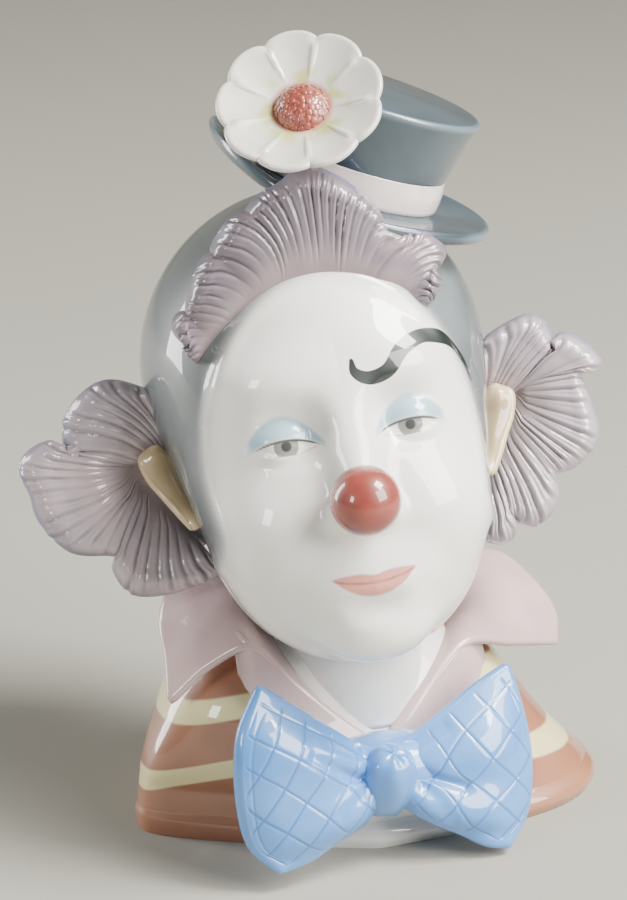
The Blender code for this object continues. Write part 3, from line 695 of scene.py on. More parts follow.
def pleatTree():
    # Lifts a sheet into round ribs with fine ribs between them, and keeps how high each point stands.
    tree, start, end = newTree("pleats", {
        "Pleats": "NodeSocketFloat", "Fan": "NodeSocketFloat", "Depth": "NodeSocketFloat",
        "Ruffle": "NodeSocketFloat", "Ribs from": "NodeSocketFloat", "Ribs full": "NodeSocketFloat",
        "Ribs fade": "NodeSocketFloat", "Ribs gone": "NodeSocketFloat", "Material": "NodeSocketMaterial",
    })

    def held(name, kind="FLOAT"):
        node = addNode(tree, "GeometryNodeInputNamedAttribute", {"data_type": kind}, {"Name": name})
        return node.outputs["Attribute"]

    def sum2(operation, first, second=None, third=None):
        node = tree.nodes.new("ShaderNodeMath")
        node.operation = operation
        for place, source in enumerate((first, second, third)):
            if source is None:
                continue
            if isinstance(source, (int, float)):
                node.inputs[place].default_value = source
            else:
                tree.links.new(source, node.inputs[place])
        return node.outputs["Value"]

    def wave(source, turns, shift, size):
        return sum2("MULTIPLY", sum2("SINE", sum2("MULTIPLY_ADD", source, 2 * math.pi * turns, shift)), size)

    def rib(source, turns, shift, power):
        half = sum2("SINE", sum2("MULTIPLY_ADD", source, math.pi * turns, shift))
        return sum2("POWER", sum2("ABSOLUTE", half), power)

    across, along = held("across"), held("along")
    sway = sum2("ADD", wave(across, 1.7, 0.82, 0.42), wave(across, 4.3, 2.51, 0.26))
    inward = sum2("MULTIPLY", sum2("SUBTRACT", 1.0, along), start.outputs["Fan"])
    fanned = sum2("ADD", across, sum2("MULTIPLY", sum2("SUBTRACT", across, 0.5), inward))
    phase = sum2("ADD", sum2("MULTIPLY", fanned, start.outputs["Pleats"]), sway)
    leaning = sum2("ADD", phase, wave(phase, 1.0, 0.6, 0.07))
    branching = addNode(
        tree, "ShaderNodeMapRange", {"interpolation_type": "SMOOTHSTEP"},
        {"From Min": 0.35, "From Max": 0.75}, {"Value": along},
    ).outputs["Result"]
    fineRib = sum2("SUBTRACT", rib(phase, 2.0, 0.9, 0.9), 0.6)
    fine = sum2("MULTIPLY", fineRib, sum2("MULTIPLY", branching, 0.34))
    ridge = sum2("ADD", sum2("MULTIPLY", rib(leaning, 1.0, 0.0, 0.7), 0.86), fine)
    strength = sum2("ADD", sum2("ADD", wave(across, 5.3, 1.0, 0.2), wave(across, 11.7, 0.3, 0.24)), 0.86)
    late = sum2("ADD", wave(across, 8.3, 0.7, 0.07), wave(across, 13.1, 2.0, 0.05))
    grow = addNode(
        tree, "ShaderNodeMapRange", {"interpolation_type": "SMOOTHSTEP"},
        links={
            "Value": sum2("ADD", along, late),
            "From Min": start.outputs["Ribs from"], "From Max": start.outputs["Ribs full"],
        },
    ).outputs["Result"]
    fade = addNode(
        tree, "ShaderNodeMapRange", {"interpolation_type": "SMOOTHSTEP"},
        links={
            "Value": sum2("ADD", along, late),
            "From Min": start.outputs["Ribs gone"], "From Max": start.outputs["Ribs fade"],
        },
    ).outputs["Result"]
    envelope = sum2("MULTIPLY", grow, fade)
    ribs = sum2("MULTIPLY", sum2("MULTIPLY", sum2("SUBTRACT", ridge, 0.6), envelope), strength)
    lobes = sum2("MULTIPLY", sum2("SUBTRACT", held("lobe"), 0.5), sum2("POWER", along, 2.0))
    lift = sum2("MULTIPLY", ribs, start.outputs["Depth"])
    lift = sum2("ADD", lift, sum2("MULTIPLY", lobes, start.outputs["Ruffle"]))
    offset = addNode(
        tree, "ShaderNodeVectorMath", {"operation": "SCALE"},
        links={0: held("stand", "FLOAT_VECTOR"), "Scale": lift},
    )
    moved = addNode(
        tree, "GeometryNodeSetPosition",
        links={"Geometry": start.outputs["Geometry"], "Offset": offset.outputs["Vector"]},
    )
    height = sum2("ADD", sum2("MULTIPLY", sum2("SUBTRACT", ridge, 0.8), envelope), 0.8)
    stored = addNode(
        tree, "GeometryNodeStoreNamedAttribute", {"data_type": "FLOAT", "domain": "POINT"},
        {"Name": "height"}, {"Geometry": moved.outputs["Geometry"], "Value": height},
    )
    realized = addNode(tree, "GeometryNodeRealizeInstances", links={"Geometry": stored.outputs["Geometry"]})
    finish = addNode(
        tree, "GeometryNodeSetMaterial",
        links={"Geometry": realized.outputs["Geometry"], "Material": start.outputs["Material"]},
    )
    tree.links.new(finish.outputs["Geometry"], end.inputs["Geometry"])
    return tree


def frillMaterial(name, paint):
    # Lavender sprayed over white, fading to pink in soft patches and towards the root, with a bluer grey on the
    # rolled rim; the grooves between the ribs are painted darker as painted shade.
    material, tree, shader = glazedPorcelain(name)
    along = mark(tree, "along")
    # Painted shade: the lower a point stands between the ribs, the more of the darker groove colour it takes.
    tone = blendColour(tree, ramp(tree, mark(tree, "height"), 0.15, 0.7), paint["groove"], paint["rib"])
    patches = ramp(tree, mottle(tree, 26.0, 2.0, 1.1), 0.48, 0.74)
    tone = blendColour(tree, patches, tone, paint["blush"])
    tone = blendColour(tree, ramp(tree, along, 0.42, 0.12), tone, paint["root"])
    tone = blendColour(tree, ramp(tree, along, 0.87, 0.96), tone, paint["rim"])
    finishPaint(tree, shader, tone)
    return material


def oneFrill(name, shape, ribs, kind, tree, material):
    # The kind is "crest" or "ear", which picks the frill's pleats, fan and rib shares.
    pleats, fan, ribShares = frill[kind + "Pleats"], frill[kind + "Fan"], frill[kind + "Ribs"]
    rows, columns = frill["perPleat"] * pleats + 1, frill["along"]
    grid = loftRays(ribs, rows, columns)
    share = np.linspace(0, 1, columns)
    growth = frill["rimThickness"] - frill["thickness"]
    thickness = frill["thickness"] + growth * smoothStep(0.82, 0.95, share)
    points, quads, fans, source, stands = thickSheet(grid, np.tile(thickness, (rows, 1)))
    across = np.linspace(0, 1, rows)
    piece = newPiece(name, placed(headPlace, points), quads, fans, material, {
        "across": np.repeat(across, columns)[source],
        "along": np.tile(share, rows)[source],
        "lobe": np.repeat(ruffled(across, shape["notches"]), columns)[source],
        "stand": placed(headPlace.to_3x3().to_4x4(), stands) * shape["side"],
    })
    grown(piece, tree, {
        "Pleats": float(pleats), "Fan": fan, "Depth": frill["depth"], "Ruffle": frill["ruffle"],
        "Ribs from": ribShares[0], "Ribs full": ribShares[1], "Ribs fade": ribShares[2],
        "Ribs gone": ribShares[3], "Material": material,
    })
    return partOfBust(piece)


greyLavender = frillMaterial("glazed_porcelain_grey_lavender", frill["crestPaint"])
lavender = frillMaterial("glazed_porcelain_lavender", frill["earPaint"])
pleats = pleatTree()
oneFrill("crest_frill", crest, crestRibs(), "crest", pleats, greyLavender)
oneFrill("right_frill", rightFrill, earFrillRibs(rightFrill), "ear", pleats, lavender)
oneFrill("left_frill", leftFrill, earFrillRibs(leftFrill), "ear", pleats, lavender)
print("frills pleated")


hat = {
    "seat": (18.8, -11.0, 54.0),       # mm from the middle of the skull
    "leans": (0.428, -0.264, 0.864),
    "brimRadius": 50.5,
    "bandRadius": 29.2,
    "topRadius": 36.2,
    "crownHeight": 36.5,
    "bandHeight": 11.5,
    "brimThickness": 4.6,
    "around": 144,
    "felt": "#33434E",
    "feltLight": "#445560",
    # the painted highlight colour for the brim's rim and the crown's top edge
    "edge": "#64747E",
    "band": "#EBDFDC",
    "bandShade": "#DCCFCE",
}

hatPlace = headPlace @ standAt(hat["seat"], hat["leans"], (0, -1, 0))


def turnedRings(outline, around, curl=True):
    turn = np.linspace(0, 2 * math.pi, around, endpoint=False)
    loops = []
    for radius, height in outline:
        out = np.clip((radius - hat["bandRadius"]) / (hat["brimRadius"] - hat["bandRadius"]), 0, 1)
        out = out if curl and height < hat["bandHeight"] else 0.0
        lift = out**2 * np.cos(turn) ** 2 * (6.0 - 4.0 * np.cos(turn))
        narrow = 1 - 0.10 * out * np.sin(turn) ** 2
        loops.append(
            np.stack([radius * np.cos(turn) * narrow, radius * np.sin(turn) * narrow, height + lift], axis=-1)
        )
    return np.array(loops)


def hatShell():
    half = hat["brimThickness"] / 2
    outline = [(1.0, -half)] + [(radius, -half) for radius in np.linspace(5, hat["brimRadius"] - half, 14)]
    for degrees in range(-75, 76, 15):
        angle = math.radians(degrees)
        outline.append((hat["brimRadius"] - half + half * math.cos(angle), half * math.sin(angle)))
    outline += [(radius, half) for radius in np.linspace(hat["brimRadius"] - half, hat["bandRadius"] + 5, 9)]
    outline += [(hat["bandRadius"] + 2.4, half + 0.25), (hat["bandRadius"] + 0.9, half + 1.2)]
    top, height = hat["topRadius"], hat["crownHeight"]
    for share in np.linspace(0.0, 1.0, 14)[1:-1]:
        wall = hat["bandRadius"] + (top - hat["bandRadius"]) * (0.75 * share + 0.25 * share**2)
        outline.append((wall, half + 1.2 + (height - half - 2.4) * share))
    rim = 1.4         # mm, radius of the rounded top edge
    for degrees in range(0, 91, 18):
        angle = math.radians(degrees)
        outline.append((top - rim + rim * math.cos(angle), height - rim + rim * math.sin(angle)))
    dome = 1.6        # mm, how far the middle of the top stands above its edge
    for radius in np.linspace(top * 0.9, 1.0, 12):
        outline.append((radius, height + dome * (1 - (radius / top) ** 2)))
    points, quads, fans = closedLoft(turnedRings(outline, hat["around"]))
    return placed(hatPlace, points), quads, fans, points


def hatMaterial():
    # Blue-grey sprayed in soft passes, with a paler painted highlight along the brim's rim and the crown's top
    # edge
    material, tree, shader, tone = sprayed(
        "glazed_porcelain_blue_grey", hat["felt"], hat["feltLight"], 22.0, 2.0, 0.3, high=0.75
    )
    # Painted highlight: the brim's rim and the crown's top edge are painted paler.
    tone = blendColour(tree, ramp(tree, mark(tree, "edge"), 0.3, 1.0), tone, hat["edge"])
    finishPaint(tree, shader, tone)
    return material


def topHat():
    points, quads, fans, local = hatShell()
    radius = np.hypot(local[:, 0], local[:, 1])
    # Mask of the painted highlight: near the brim's rim and round the crown's top edge.
    brim = smoothStep(hat["brimRadius"] - 4, hat["brimRadius"], radius)
    crown = smoothStep(hat["topRadius"] - 3, hat["topRadius"], radius) * smoothStep(
        hat["crownHeight"] - 4, hat["crownHeight"] - 0.5, local[:, 2]
    )
    edge = np.maximum(brim, crown)
    return partOfBust(newPiece("top_hat", points, quads, fans, hatMaterial(), {"edge": edge}))


def hatBand():
    material, tree, shader, tone = sprayed(
        "glazed_porcelain_pale_pink", hat["band"], hat["bandShade"], 14.0, 2.0, 0.6
    )
    finishPaint(tree, shader, tone)
    half = hat["brimThickness"] / 2
    low, high, radius = half + 0.6, half + hat["bandHeight"], hat["bandRadius"]
    # Its section, from the inner low corner outwards; it swells a little between its edges.
    loop = [(radius - 2, low), (radius + 1.4, low)]
    loop += [(radius + 1.9 + 0.5 * math.sin(math.pi * share), low + (high - low) * share)
             for share in np.linspace(0.04, 0.96, 10)]
    loop = np.array(loop + [(radius + 2.0, high), (radius - 2, high + 0.2)])
    turn = np.linspace(0, 2 * math.pi, hat["around"], endpoint=False)
    rings = np.stack(
        [loop[:, :1] * np.cos(turn), loop[:, :1] * np.sin(turn), loop[:, 1:] * np.ones(len(turn))], -1
    )
    count, around = rings.shape[:2]
    number = np.arange(count * around).reshape(count, around)
    after = np.roll(number, -1, axis=0)
    quads = np.stack([number, np.roll(number, -1, 1), np.roll(after, -1, 1), after], -1).reshape(-1, 4)
    points = rings.reshape(-1, 3)
    quads, fans = outwards(points, quads, np.zeros((0, 3), int))
    return partOfBust(newPiece("hat_band", placed(hatPlace, points), quads, fans, material))


topHat()
hatBand()
print("hat done")


flower = {
    "radius": 26.5,          # mm
    "dish": 7.7,
    "petalThickness": 2.6,
    "petals": 9,
    "petalTurn": 6.0,        # degrees, where the first petal points
    "buttonRadius": 9.8,
    "pipRadius": 1.2,
    "pipSpacing": 1.45,
    "pipDensity": 400000.0,  # per square metre, more than the spacing lets through
    "seed": 4,
    "clearance": 6.0,        # mm, the gap that keeps the petals off the crown
    "onCrown": (-129.0, 0.58),         # degrees round the crown, share of its height
    "looks": (-0.365, -0.556, 0.747),
    "white": "#D9D7CE",
    "stalkShade": "#DDDCD2",
    "tint": "#BEC27C",
    "bleed": "#C98A78",      # where the red of the button has run a little in the firing
    "button": "#9E4F42",
    "buttonDeep": "#833A2F",
    "buttonLight": "#B06C5D",
}


def flowerFrame():
    angle = math.radians(flower["onCrown"][0])
    wall = hat["bandRadius"] + (hat["topRadius"] - hat["bandRadius"]) * 0.6
    height = hat["crownHeight"] * flower["onCrown"][1]
    spot = hatPlace @ Vector((wall * math.cos(angle), wall * math.sin(angle), height))
    looks = Vector(flower["looks"]).normalized()
    place = standAt((0, 0, 0), looks, (0, 0, 1))
    place.translation = spot + looks * ((flower["buttonRadius"] * 0.55 + flower["clearance"]) * mm)
    return place @ Matrix.Scale(mm, 4)


flowerPlace = flowerFrame()


def petalShell():
    # One gently cupped petal along +X; its raised sides make the ridges between neighbours.
    rows, columns = 61, 46
    side = np.linspace(-1, 1, rows)[:, None] * np.ones(columns)
    out = np.linspace(0, 1, columns)[None, :] * np.ones((rows, 1))
    tip = np.clip(np.cos(math.pi / 2 * side), 0, 1) ** 0.55
    reach = 3.0 + (flower["radius"] * (0.90 + 0.10 * tip) - 3.0) * out
    turn = math.pi / flower["petals"] * 1.004 * side
    height = flower["dish"] * (reach / flower["radius"]) ** 1.5
    height = height - 0.7 * (1 - side**2) * smoothStep(0.15, 0.8, out)
    height = height - 1.3 * np.abs(side) ** 6 * smoothStep(0.86, 1.0, out)
    height = height + 0.45 * np.exp(-(((1 - np.abs(side)) / 0.09) ** 2)) * smoothStep(0.35, 0.8, out)
    grid = np.stack([reach * np.cos(turn), reach * np.sin(turn), height - flower["petalThickness"] / 2], -1)
    return thickSheet(grid, flower["petalThickness"] * (1 - 0.1 * out))


def ringOfPetals():
    # Nine petals turned about the flower's middle
    tree, start, end = newTree("petals", {
        "Count": "NodeSocketInt", "First turn": "NodeSocketFloat", "Material": "NodeSocketMaterial",
    })
    points = addNode(
        tree, "GeometryNodeMeshLine", {"mode": "OFFSET"}, {"Offset": (0, 0, 0)},
        {"Count": start.outputs["Count"]},
    )
    index = addNode(tree, "GeometryNodeInputIndex").outputs["Index"]
    step = addNode(
        tree, "ShaderNodeMath", {"operation": "DIVIDE"}, {0: 2 * math.pi}, {1: start.outputs["Count"]}
    )
    turn = addNode(
        tree, "ShaderNodeMath", {"operation": "MULTIPLY_ADD"},
        links={0: index, 1: step.outputs["Value"], 2: start.outputs["First turn"]},
    )
    angle = addNode(tree, "ShaderNodeCombineXYZ", links={"Z": turn.outputs["Value"]})
    placedPetals = addNode(
        tree, "GeometryNodeInstanceOnPoints",
        links={
            "Points": points.outputs["Mesh"], "Instance": start.outputs["Geometry"],
            "Rotation": angle.outputs["Vector"],
        },
    )
    realized = addNode(
        tree, "GeometryNodeRealizeInstances", links={"Geometry": placedPetals.outputs["Instances"]}
    )
    finish = addNode(
        tree, "GeometryNodeSetMaterial",
        links={"Geometry": realized.outputs["Geometry"], "Material": start.outputs["Material"]},
    )
    tree.links.new(finish.outputs["Geometry"], end.inputs["Geometry"])
    return tree


def petalRing():
    material, tree, shader = glazedPorcelain("glazed_porcelain_white_petals")
    fromMiddle = mark(tree, "fromMiddle")
    patches = ramp(tree, mottle(tree, 7.0, 1.5, 0.8), 0.38, 0.62)
    tinted = blendColour(tree, patches, flower["white"], flower["tint"])
    tone = blendColour(tree, ramp(tree, fromMiddle, 0.70, 0.42), flower["white"], tinted)
    tone = blendColour(tree, ramp(tree, fromMiddle, 0.43, 0.33), tone, flower["bleed"])
    finishPaint(tree, shader, tone)
    points, quads, fans, _, _ = petalShell()
    fromMiddle = np.hypot(points[:, 0], points[:, 1]) / flower["radius"]
    piece = newPiece("flower_petals", points, quads, fans, material, {"fromMiddle": fromMiddle})
    grown(piece, ringOfPetals(), {
        "Count": flower["petals"], "First turn": math.radians(flower["petalTurn"]), "Material": material,
    })
    piece.data.transform(flowerPlace)
    return partOfBust(piece)


def pipTree():
    # Low overlapping scales scattered over the dome, as a modeller presses them in
    tree, start, end = newTree("pips", {
        "Density": "NodeSocketFloat", "Spacing": "NodeSocketFloat", "Pip radius": "NodeSocketFloat",
        "Seed": "NodeSocketInt", "Material": "NodeSocketMaterial",
    })
    scattered = addNode(
        tree, "GeometryNodeDistributePointsOnFaces", {"distribute_method": "POISSON"},
        links={
            "Mesh": start.outputs["Geometry"], "Distance Min": start.outputs["Spacing"],
            "Density Max": start.outputs["Density"], "Seed": start.outputs["Seed"],
        },
    )
    pip = addNode(
        tree, "GeometryNodeMeshUVSphere", values={"Segments": 9, "Rings": 6},
        links={"Radius": start.outputs["Pip radius"]},
    )
    smooth = addNode(tree, "GeometryNodeSetShadeSmooth", links={"Geometry": pip.outputs["Mesh"]})
    pips = addNode(
        tree, "GeometryNodeInstanceOnPoints", values={"Scale": (1.0, 1.0, 0.24)},
        links={
            "Points": scattered.outputs["Points"], "Instance": smooth.outputs["Geometry"],
            "Rotation": scattered.outputs["Rotation"],
        },
    )
    both = addNode(tree, "GeometryNodeJoinGeometry")
    tree.links.new(pips.outputs["Instances"], both.inputs["Geometry"])
    tree.links.new(start.outputs["Geometry"], both.inputs["Geometry"])
    realized = addNode(tree, "GeometryNodeRealizeInstances", links={"Geometry": both.outputs["Geometry"]})
    finish = addNode(
        tree, "GeometryNodeSetMaterial",
        links={"Geometry": realized.outputs["Geometry"], "Material": start.outputs["Material"]},
    )
    tree.links.new(finish.outputs["Geometry"], end.inputs["Geometry"])
    return tree


def flowerButton():
    material, tree, shader, tone = sprayed(
        "glazed_porcelain_brick_pink", flower["button"], flower["buttonDeep"], 5.0, 2.0, 1.4, 0.35, 0.65
    )
    tone = blendColour(tree, ramp(tree, mottle(tree, 2.2, 3.0, 2.9), 0.55, 0.75), tone, flower["buttonLight"])
    finishPaint(tree, shader, tone)
    radius = flower["buttonRadius"]
    radii = np.array((radius, radius, radius * 0.72)) * mm * 0.94      # the pips make up the rest
    shell = ballShell((0, 0, 0), radii, Matrix.Identity(4), 40, 60)
    piece = newPiece("flower_button", *shell, material)
    grown(piece, pipTree(), {
        "Density": flower["pipDensity"], "Spacing": flower["pipSpacing"] * mm,
        "Pip radius": flower["pipRadius"] * mm, "Seed": flower["seed"], "Material": material,
    })
    piece.data.transform(flowerPlace @ Matrix.Scale(1 / mm, 4))
    return partOfBust(piece)


def flowerStalk():
    material, tree, shader, tone = sprayed(
        "glazed_porcelain_white_stalk", flower["white"], flower["stalkShade"], 8.0
    )
    finishPaint(tree, shader, tone)
    shell = ballShell((0, 0, -11.0), (8.0, 8.0, 14.0), flowerPlace)
    return partOfBust(newPiece("flower_stalk", *shell, material))


petalRing()
flowerButton()
flowerStalk()
print("flower done")


neck = {
    "radius": 23.0,
    "flare": 0.45,                     # how much wider it is at the foot, as a share of its radius
    "low": (-9.0, -4.0, 40.0),         # mm, its foot inside the shoulders
    "high": (0, -6, -62),              # mm from the middle of the skull
    "white": "#E4E4E0",
    "fold": "#CFD0CE",
}


def whiteNeck():
    material, tree, shader, tone = sprayed(
        "glazed_porcelain_white_shirt", neck["white"], neck["fold"], 26.0, 2.0, 0.9
    )
    finishPaint(tree, shader, tone)
    low = np.array(neck["low"]) * mm
    high = placed(headPlace, [neck["high"]])[0]
    around = 120
    turn = np.linspace(0, 2 * math.pi, around, endpoint=False)
    rings = []
    for share in np.linspace(0, 1, 40):
        radius = neck["radius"] * mm * (1 + neck["flare"] * (1 - share) ** 2.2)
        fold = 1 + 0.012 * np.sin(5 * turn + 3 * share) * math.sin(math.pi * share)
        middle = low + (high - low) * share
        rings.append(
            np.stack([middle[0] + radius * fold * np.cos(turn), middle[1] + radius * fold * np.sin(turn),
                      np.full(around, middle[2])], axis=-1)
        )
    return partOfBust(newPiece("white_neck", *closedLoft(rings), material))


whiteNeck()


shoulders = {
    "halfWidth": 80.0,
    "frontDepth": 45.0,
    "backDepth": 43.0,
    "height": 78.0,
    # height, right end, left end, front and back share of the depth
    "levels": [
        (0, -84.5, 80, 1.05, 1.00),
        (3, -85, 82.5, 1.07, 1.03),
        (6, -85, 82, 1.05, 1.02),
        (8.5, -84.3, 79, 1.01, 1.00),
        (11, -84, 77, 0.99, 0.98),
        (24, -82, 65, 0.93, 0.95),
        (38, -76.5, 54.5, 0.84, 0.91),
        (50, -71, 46, 0.74, 0.86),
        (60, -62, 34, 0.63, 0.80),
        (69, -47, 21, 0.54, 0.70),
        (75, -34, 13, 0.46, 0.56),
        (78, -22, 4, 0.36, 0.36),
    ],
    "bandHeights": (30.4, 52.0),
    "bandHalves": (3.6, 3.4),
    "bandDrop": 0.0055,      # how fast the bands sink towards the right arm, per mm
    "salmon": "#A67255",
    "salmonDeep": "#936148",
    "cream": "#DCD29C",
    "shirt": "#E6E6E2",
}


def bustPlaced(points):
    scale = (shoulders["halfWidth"] / 80.0, shoulders["frontDepth"] / 45.0, shoulders["height"] / 78.0)
    return np.asarray(points, float) * scale * mm


def stripes(points):
    # Distances in mm inside the two cream bands and inside the white shirt front
    x, y, z = (points / mm).T
    sway = 0.5 * np.sin(x / 9.0 + 0.6)
    drop = shoulders["bandDrop"] * np.maximum(-x - 38, 0) ** 2
    low, high = shoulders["bandHeights"]
    lowHalf, highHalf = shoulders["bandHalves"]
    lowBand = lowHalf - np.abs(z - low + drop + 0.167 * np.maximum(x, 0) - sway)
    highBand = highHalf - np.abs(z - high + drop + 0.25 * np.maximum(x - 26, 0) - sway)
    shirt = np.minimum(np.minimum(x + 40 - 0.12 * z, 30 - 0.1 * z - x), -y - 10)
    inCollar = np.minimum(np.minimum(40 - np.hypot(x + 14, y - 2), z - 56), 4 - y)
    shirt = np.maximum(shirt, inCollar)
    return {"bands": np.maximum(lowBand, highBand), "shirt": shirt}


def stripedShoulders():
    material, tree, shader, tone = sprayed(
        "glazed_porcelain_salmon_stripes", shoulders["salmon"], shoulders["salmonDeep"], 28.0, 2.0, 2.2
    )
    tone = blendColour(tree, ramp(tree, mark(tree, "bands"), -0.5, 0.5), tone, shoulders["cream"])
    tone = blendColour(tree, ramp(tree, mark(tree, "shirt"), -0.6, 0.6), tone, shoulders["shirt"])
    finishPaint(tree, shader, tone)
    levels = smoothCurve(shoulders["levels"], 130)
    around = 300
    turn = np.linspace(0, 2 * math.pi, around, endpoint=False)
    rings = []
    for height, right, left, front, back in levels:
        slimness = np.clip((height - 18) / 28, 0, 1)
        squareness = 0.62 + 0.2 * slimness
        across = np.sign(np.cos(turn)) * np.abs(np.cos(turn)) ** squareness
        taper = 1 - 0.68 * np.clip((-across - 0.15) / 0.85, 0, 1) * (1 - slimness)
        deep = taper * np.sign(np.sin(turn)) * np.abs(np.sin(turn)) ** (squareness + 0.06)
        depth = np.where(deep < 0, shoulders["frontDepth"] * front, shoulders["backDepth"] * back)
        rings.append(
            np.stack([((right + left) / 2 + (left - right) / 2 * across) * shoulders["halfWidth"] / 80.0,
                      deep * depth, np.full(around, height * shoulders["height"] / 78.0)], axis=-1) * mm
        )
    points, quads, fans = closedLoft(rings)
    return partOfBust(newPiece("striped_shoulders", points, quads, fans, material, stripes(points)))


stripedShoulders()
print("shoulders done")


collar = {
    "thickness": 3.4,
    "pink": "#D2B6B4",
    "shade": "#BCA1A2",
    "rays": [
        [(-12, -40, 35), (-26, -37, 46.5), (-40, -33, 60), (-52, -26, 72.5), (-65, -19, 65), (-77, -15, 53)],
        [(-20, -33, 38), (-34, -27, 55), (-44, -21, 70), (-52, -16, 79.5), (-64, -11, 74), (-74.5, -6, 64)],
        [(-30, -20, 44), (-38, -14, 62), (-44, -8, 76), (-51, -4, 83.5), (-62, 0, 80.5), (-72.5, 5, 74)],
        [(-33, -2, 50), (-37, 2, 66), (-41, 6, 78), (-48, 9, 86), (-57, 12, 85), (-64.5, 16, 80.5)],
        [(-26, 17, 52), (-29, 21, 67), (-32, 25, 79), (-36, 30, 86), (-42, 34, 83), (-47, 37, 76)],
        [(-9, 25, 52), (-9, 29, 66), (-9, 33, 77), (-9, 38, 83), (-9, 42.5, 79), (-9, 45, 71)],
        [(9, 19, 50), (13, 23, 64), (17, 27, 74), (23, 32, 79), (31, 36, 76), (37, 38, 69)],
        [(15, 4, 46), (21, 7, 58), (28, 11, 67), (38, 16, 74), (48, 19, 75), (57, 21, 73)],
        [(12, -14, 42), (19, -10, 52), (28, -5, 62), (41, 2, 69), (54, 6, 69.5), (66, 10, 67)],
        [(2, -30, 38), (9, -24, 47), (18, -19, 57), (33, -14, 65.5), (52, -8, 63), (70, -4, 58.5)],
        [(-10, -40, 35), (-2, -37, 41.5), (8, -33, 49.5), (26, -26, 61.5), (46, -20, 56.5), (66.5, -14, 51)],
    ],
    "stands": [
        [
            [(-17, -43, 30), (-12, -40, 35)], [(-31, -41, 38), (-26, -37, 46.5)],
            [(-43, -36, 48), (-40, -33, 60)], [(-52, -29, 57), (-52, -26, 72)],
            [(-54, -22, 62), (-55, -20, 76)],
        ],
        [
            [(-5, -43, 29), (-10, -40, 35)], [(6, -41, 33), (0, -37, 42.5)],
            [(17, -34.5, 38.5), (11, -32, 51.5)], [(30, -26, 45.5), (25, -26, 61)],
            [(37, -18, 49), (33, -18, 64)],
        ],
    ],
}


def pinkCollar():
    # Sprayed pink, meeting a greyer pink in soft random clouds
    material, tree, shader, tone = sprayed(
        "glazed_porcelain_pink", collar["pink"], collar["shade"], 30.0, 2.0, 3.1
    )
    finishPaint(tree, shader, tone)
    sheets = [thickSheet(bustPlaced(loftRays(collar["rays"], 200, 70)), collar["thickness"] * mm)[:3]]
    for rays in collar["stands"]:
        sheets.append(thickSheet(bustPlaced(loftRays(rays, 50, 16)), collar["thickness"] * mm)[:3])
    return partOfBust(newPiece("pink_collar", *joined(*sheets), material))


pinkCollar()
print("collar done")


bow = {
    "edgeThickness": 3.8,
    "pillow": 4.5,
    "knotWidth": 19.5,
    "knotHeight": 26.5,
    "lineSpacing": 9.6,      # mm between the scored lines of the lattice
    "lineWidth": 0.42,
    "lineDepth": 0.24,
    "blue": "#4F8CD2",
    "lineBlue": "#4077B9",
    "highBlue": "#5C95D7",
    # Folds pressed into each wing: start at the knot and end in x and z, depth and half width, all mm
    "folds": [
        [
            ((-26, 41), (-44, 49.5), 1.8, 2.2), ((-27, 33), (-44, 44), 2.0, 2.0),
            ((-26, 28), (-36, 24), 1.0, 2.0),
        ],
        [
            ((-5, 31), (10, 24.5), 2.8, 2.3), ((-5, 39), (7.5, 42.5), 1.8, 2.2),
            ((-4, 26), (5, 17), 1.2, 2.0),
        ],
    ],
    "wings": [
        [
            [(-19, -57, 24), (-27, -61, 19), (-37, -62, 14.5), (-47, -63.5, 10.5), (-57, -64, 8.5)],
            [(-19, -57, 28), (-29, -62, 25.5), (-42, -64, 21), (-55, -63, 18.5), (-65, -60, 18)],
            [(-19, -55, 31), (-30, -58, 32), (-43, -60.5, 32), (-57, -60, 33), (-67.5, -57, 36)],
            [(-19, -54, 34), (-30, -56.5, 39), (-42, -58, 44), (-55, -56.5, 49), (-65.5, -53, 53.5)],
            [(-19, -52, 38.5), (-27, -51, 43), (-35, -50, 49), (-47, -48.5, 58), (-57.5, -47, 66)],
        ],
        [
            [(-10, -58, 22), (-2, -62, 16.5), (9, -64, 10.5), (17, -66.5, 6), (24.5, -67, 4)],
            [(-10, -58, 26), (2, -63, 20.5), (17, -65, 15), (26, -63.5, 12.5), (33.5, -60, 13)],
            [(-10, -56, 29), (3, -58, 27), (19, -60, 25), (29, -58, 25), (37, -53.5, 27.5)],
            [(-10, -54, 32), (3, -55.5, 34.5), (18, -56.5, 37), (28, -53.5, 39.5), (36.5, -48, 43)],
            [(-10, -51.5, 37.5), (1, -49.5, 42.5), (13, -47, 48.5), (24, -44.5, 53.5), (34.5, -42, 57)],
        ],
    ],
    "knot": (-15.2, -56.5, 30),
    "knotLean": 22.0,              # degrees
    "seat": (-13, -46, 29),        # the swelling behind the knot that joins the bow to the shirt
    "seatRadii": (30.0, 14.0, 13.0),
}


def scored(first, second):
    # How near a point is to a scored line, 1 on the line; the two values are mm across the cloth
    spacing, width = bow["lineSpacing"], bow["lineWidth"]
    near = np.full(first.shape, 99.0)
    for value in (first, second):
        near = np.minimum(near, np.abs((value / spacing + 0.5) % 1 - 0.5) * spacing)
    return np.exp(-((near / width) ** 2))


def pressed(x, z, folds):
    # How deep the folds run at each point of the cloth, in mm; each dies away from the knot.
    deep = np.zeros(x.shape)
    for (startX, startZ), (endX, endZ), depth, width in folds:
        alongX, alongZ = endX - startX, endZ - startZ
        share = ((x - startX) * alongX + (z - startZ) * alongZ) / (alongX**2 + alongZ**2)
        inside = np.clip(share, 0, 1)
        gap = np.hypot(x - startX - inside * alongX, z - startZ - inside * alongZ)
        deep = np.maximum(deep, depth * (1 - 0.55 * inside) * np.exp(-((gap / width) ** 2)))
    return deep


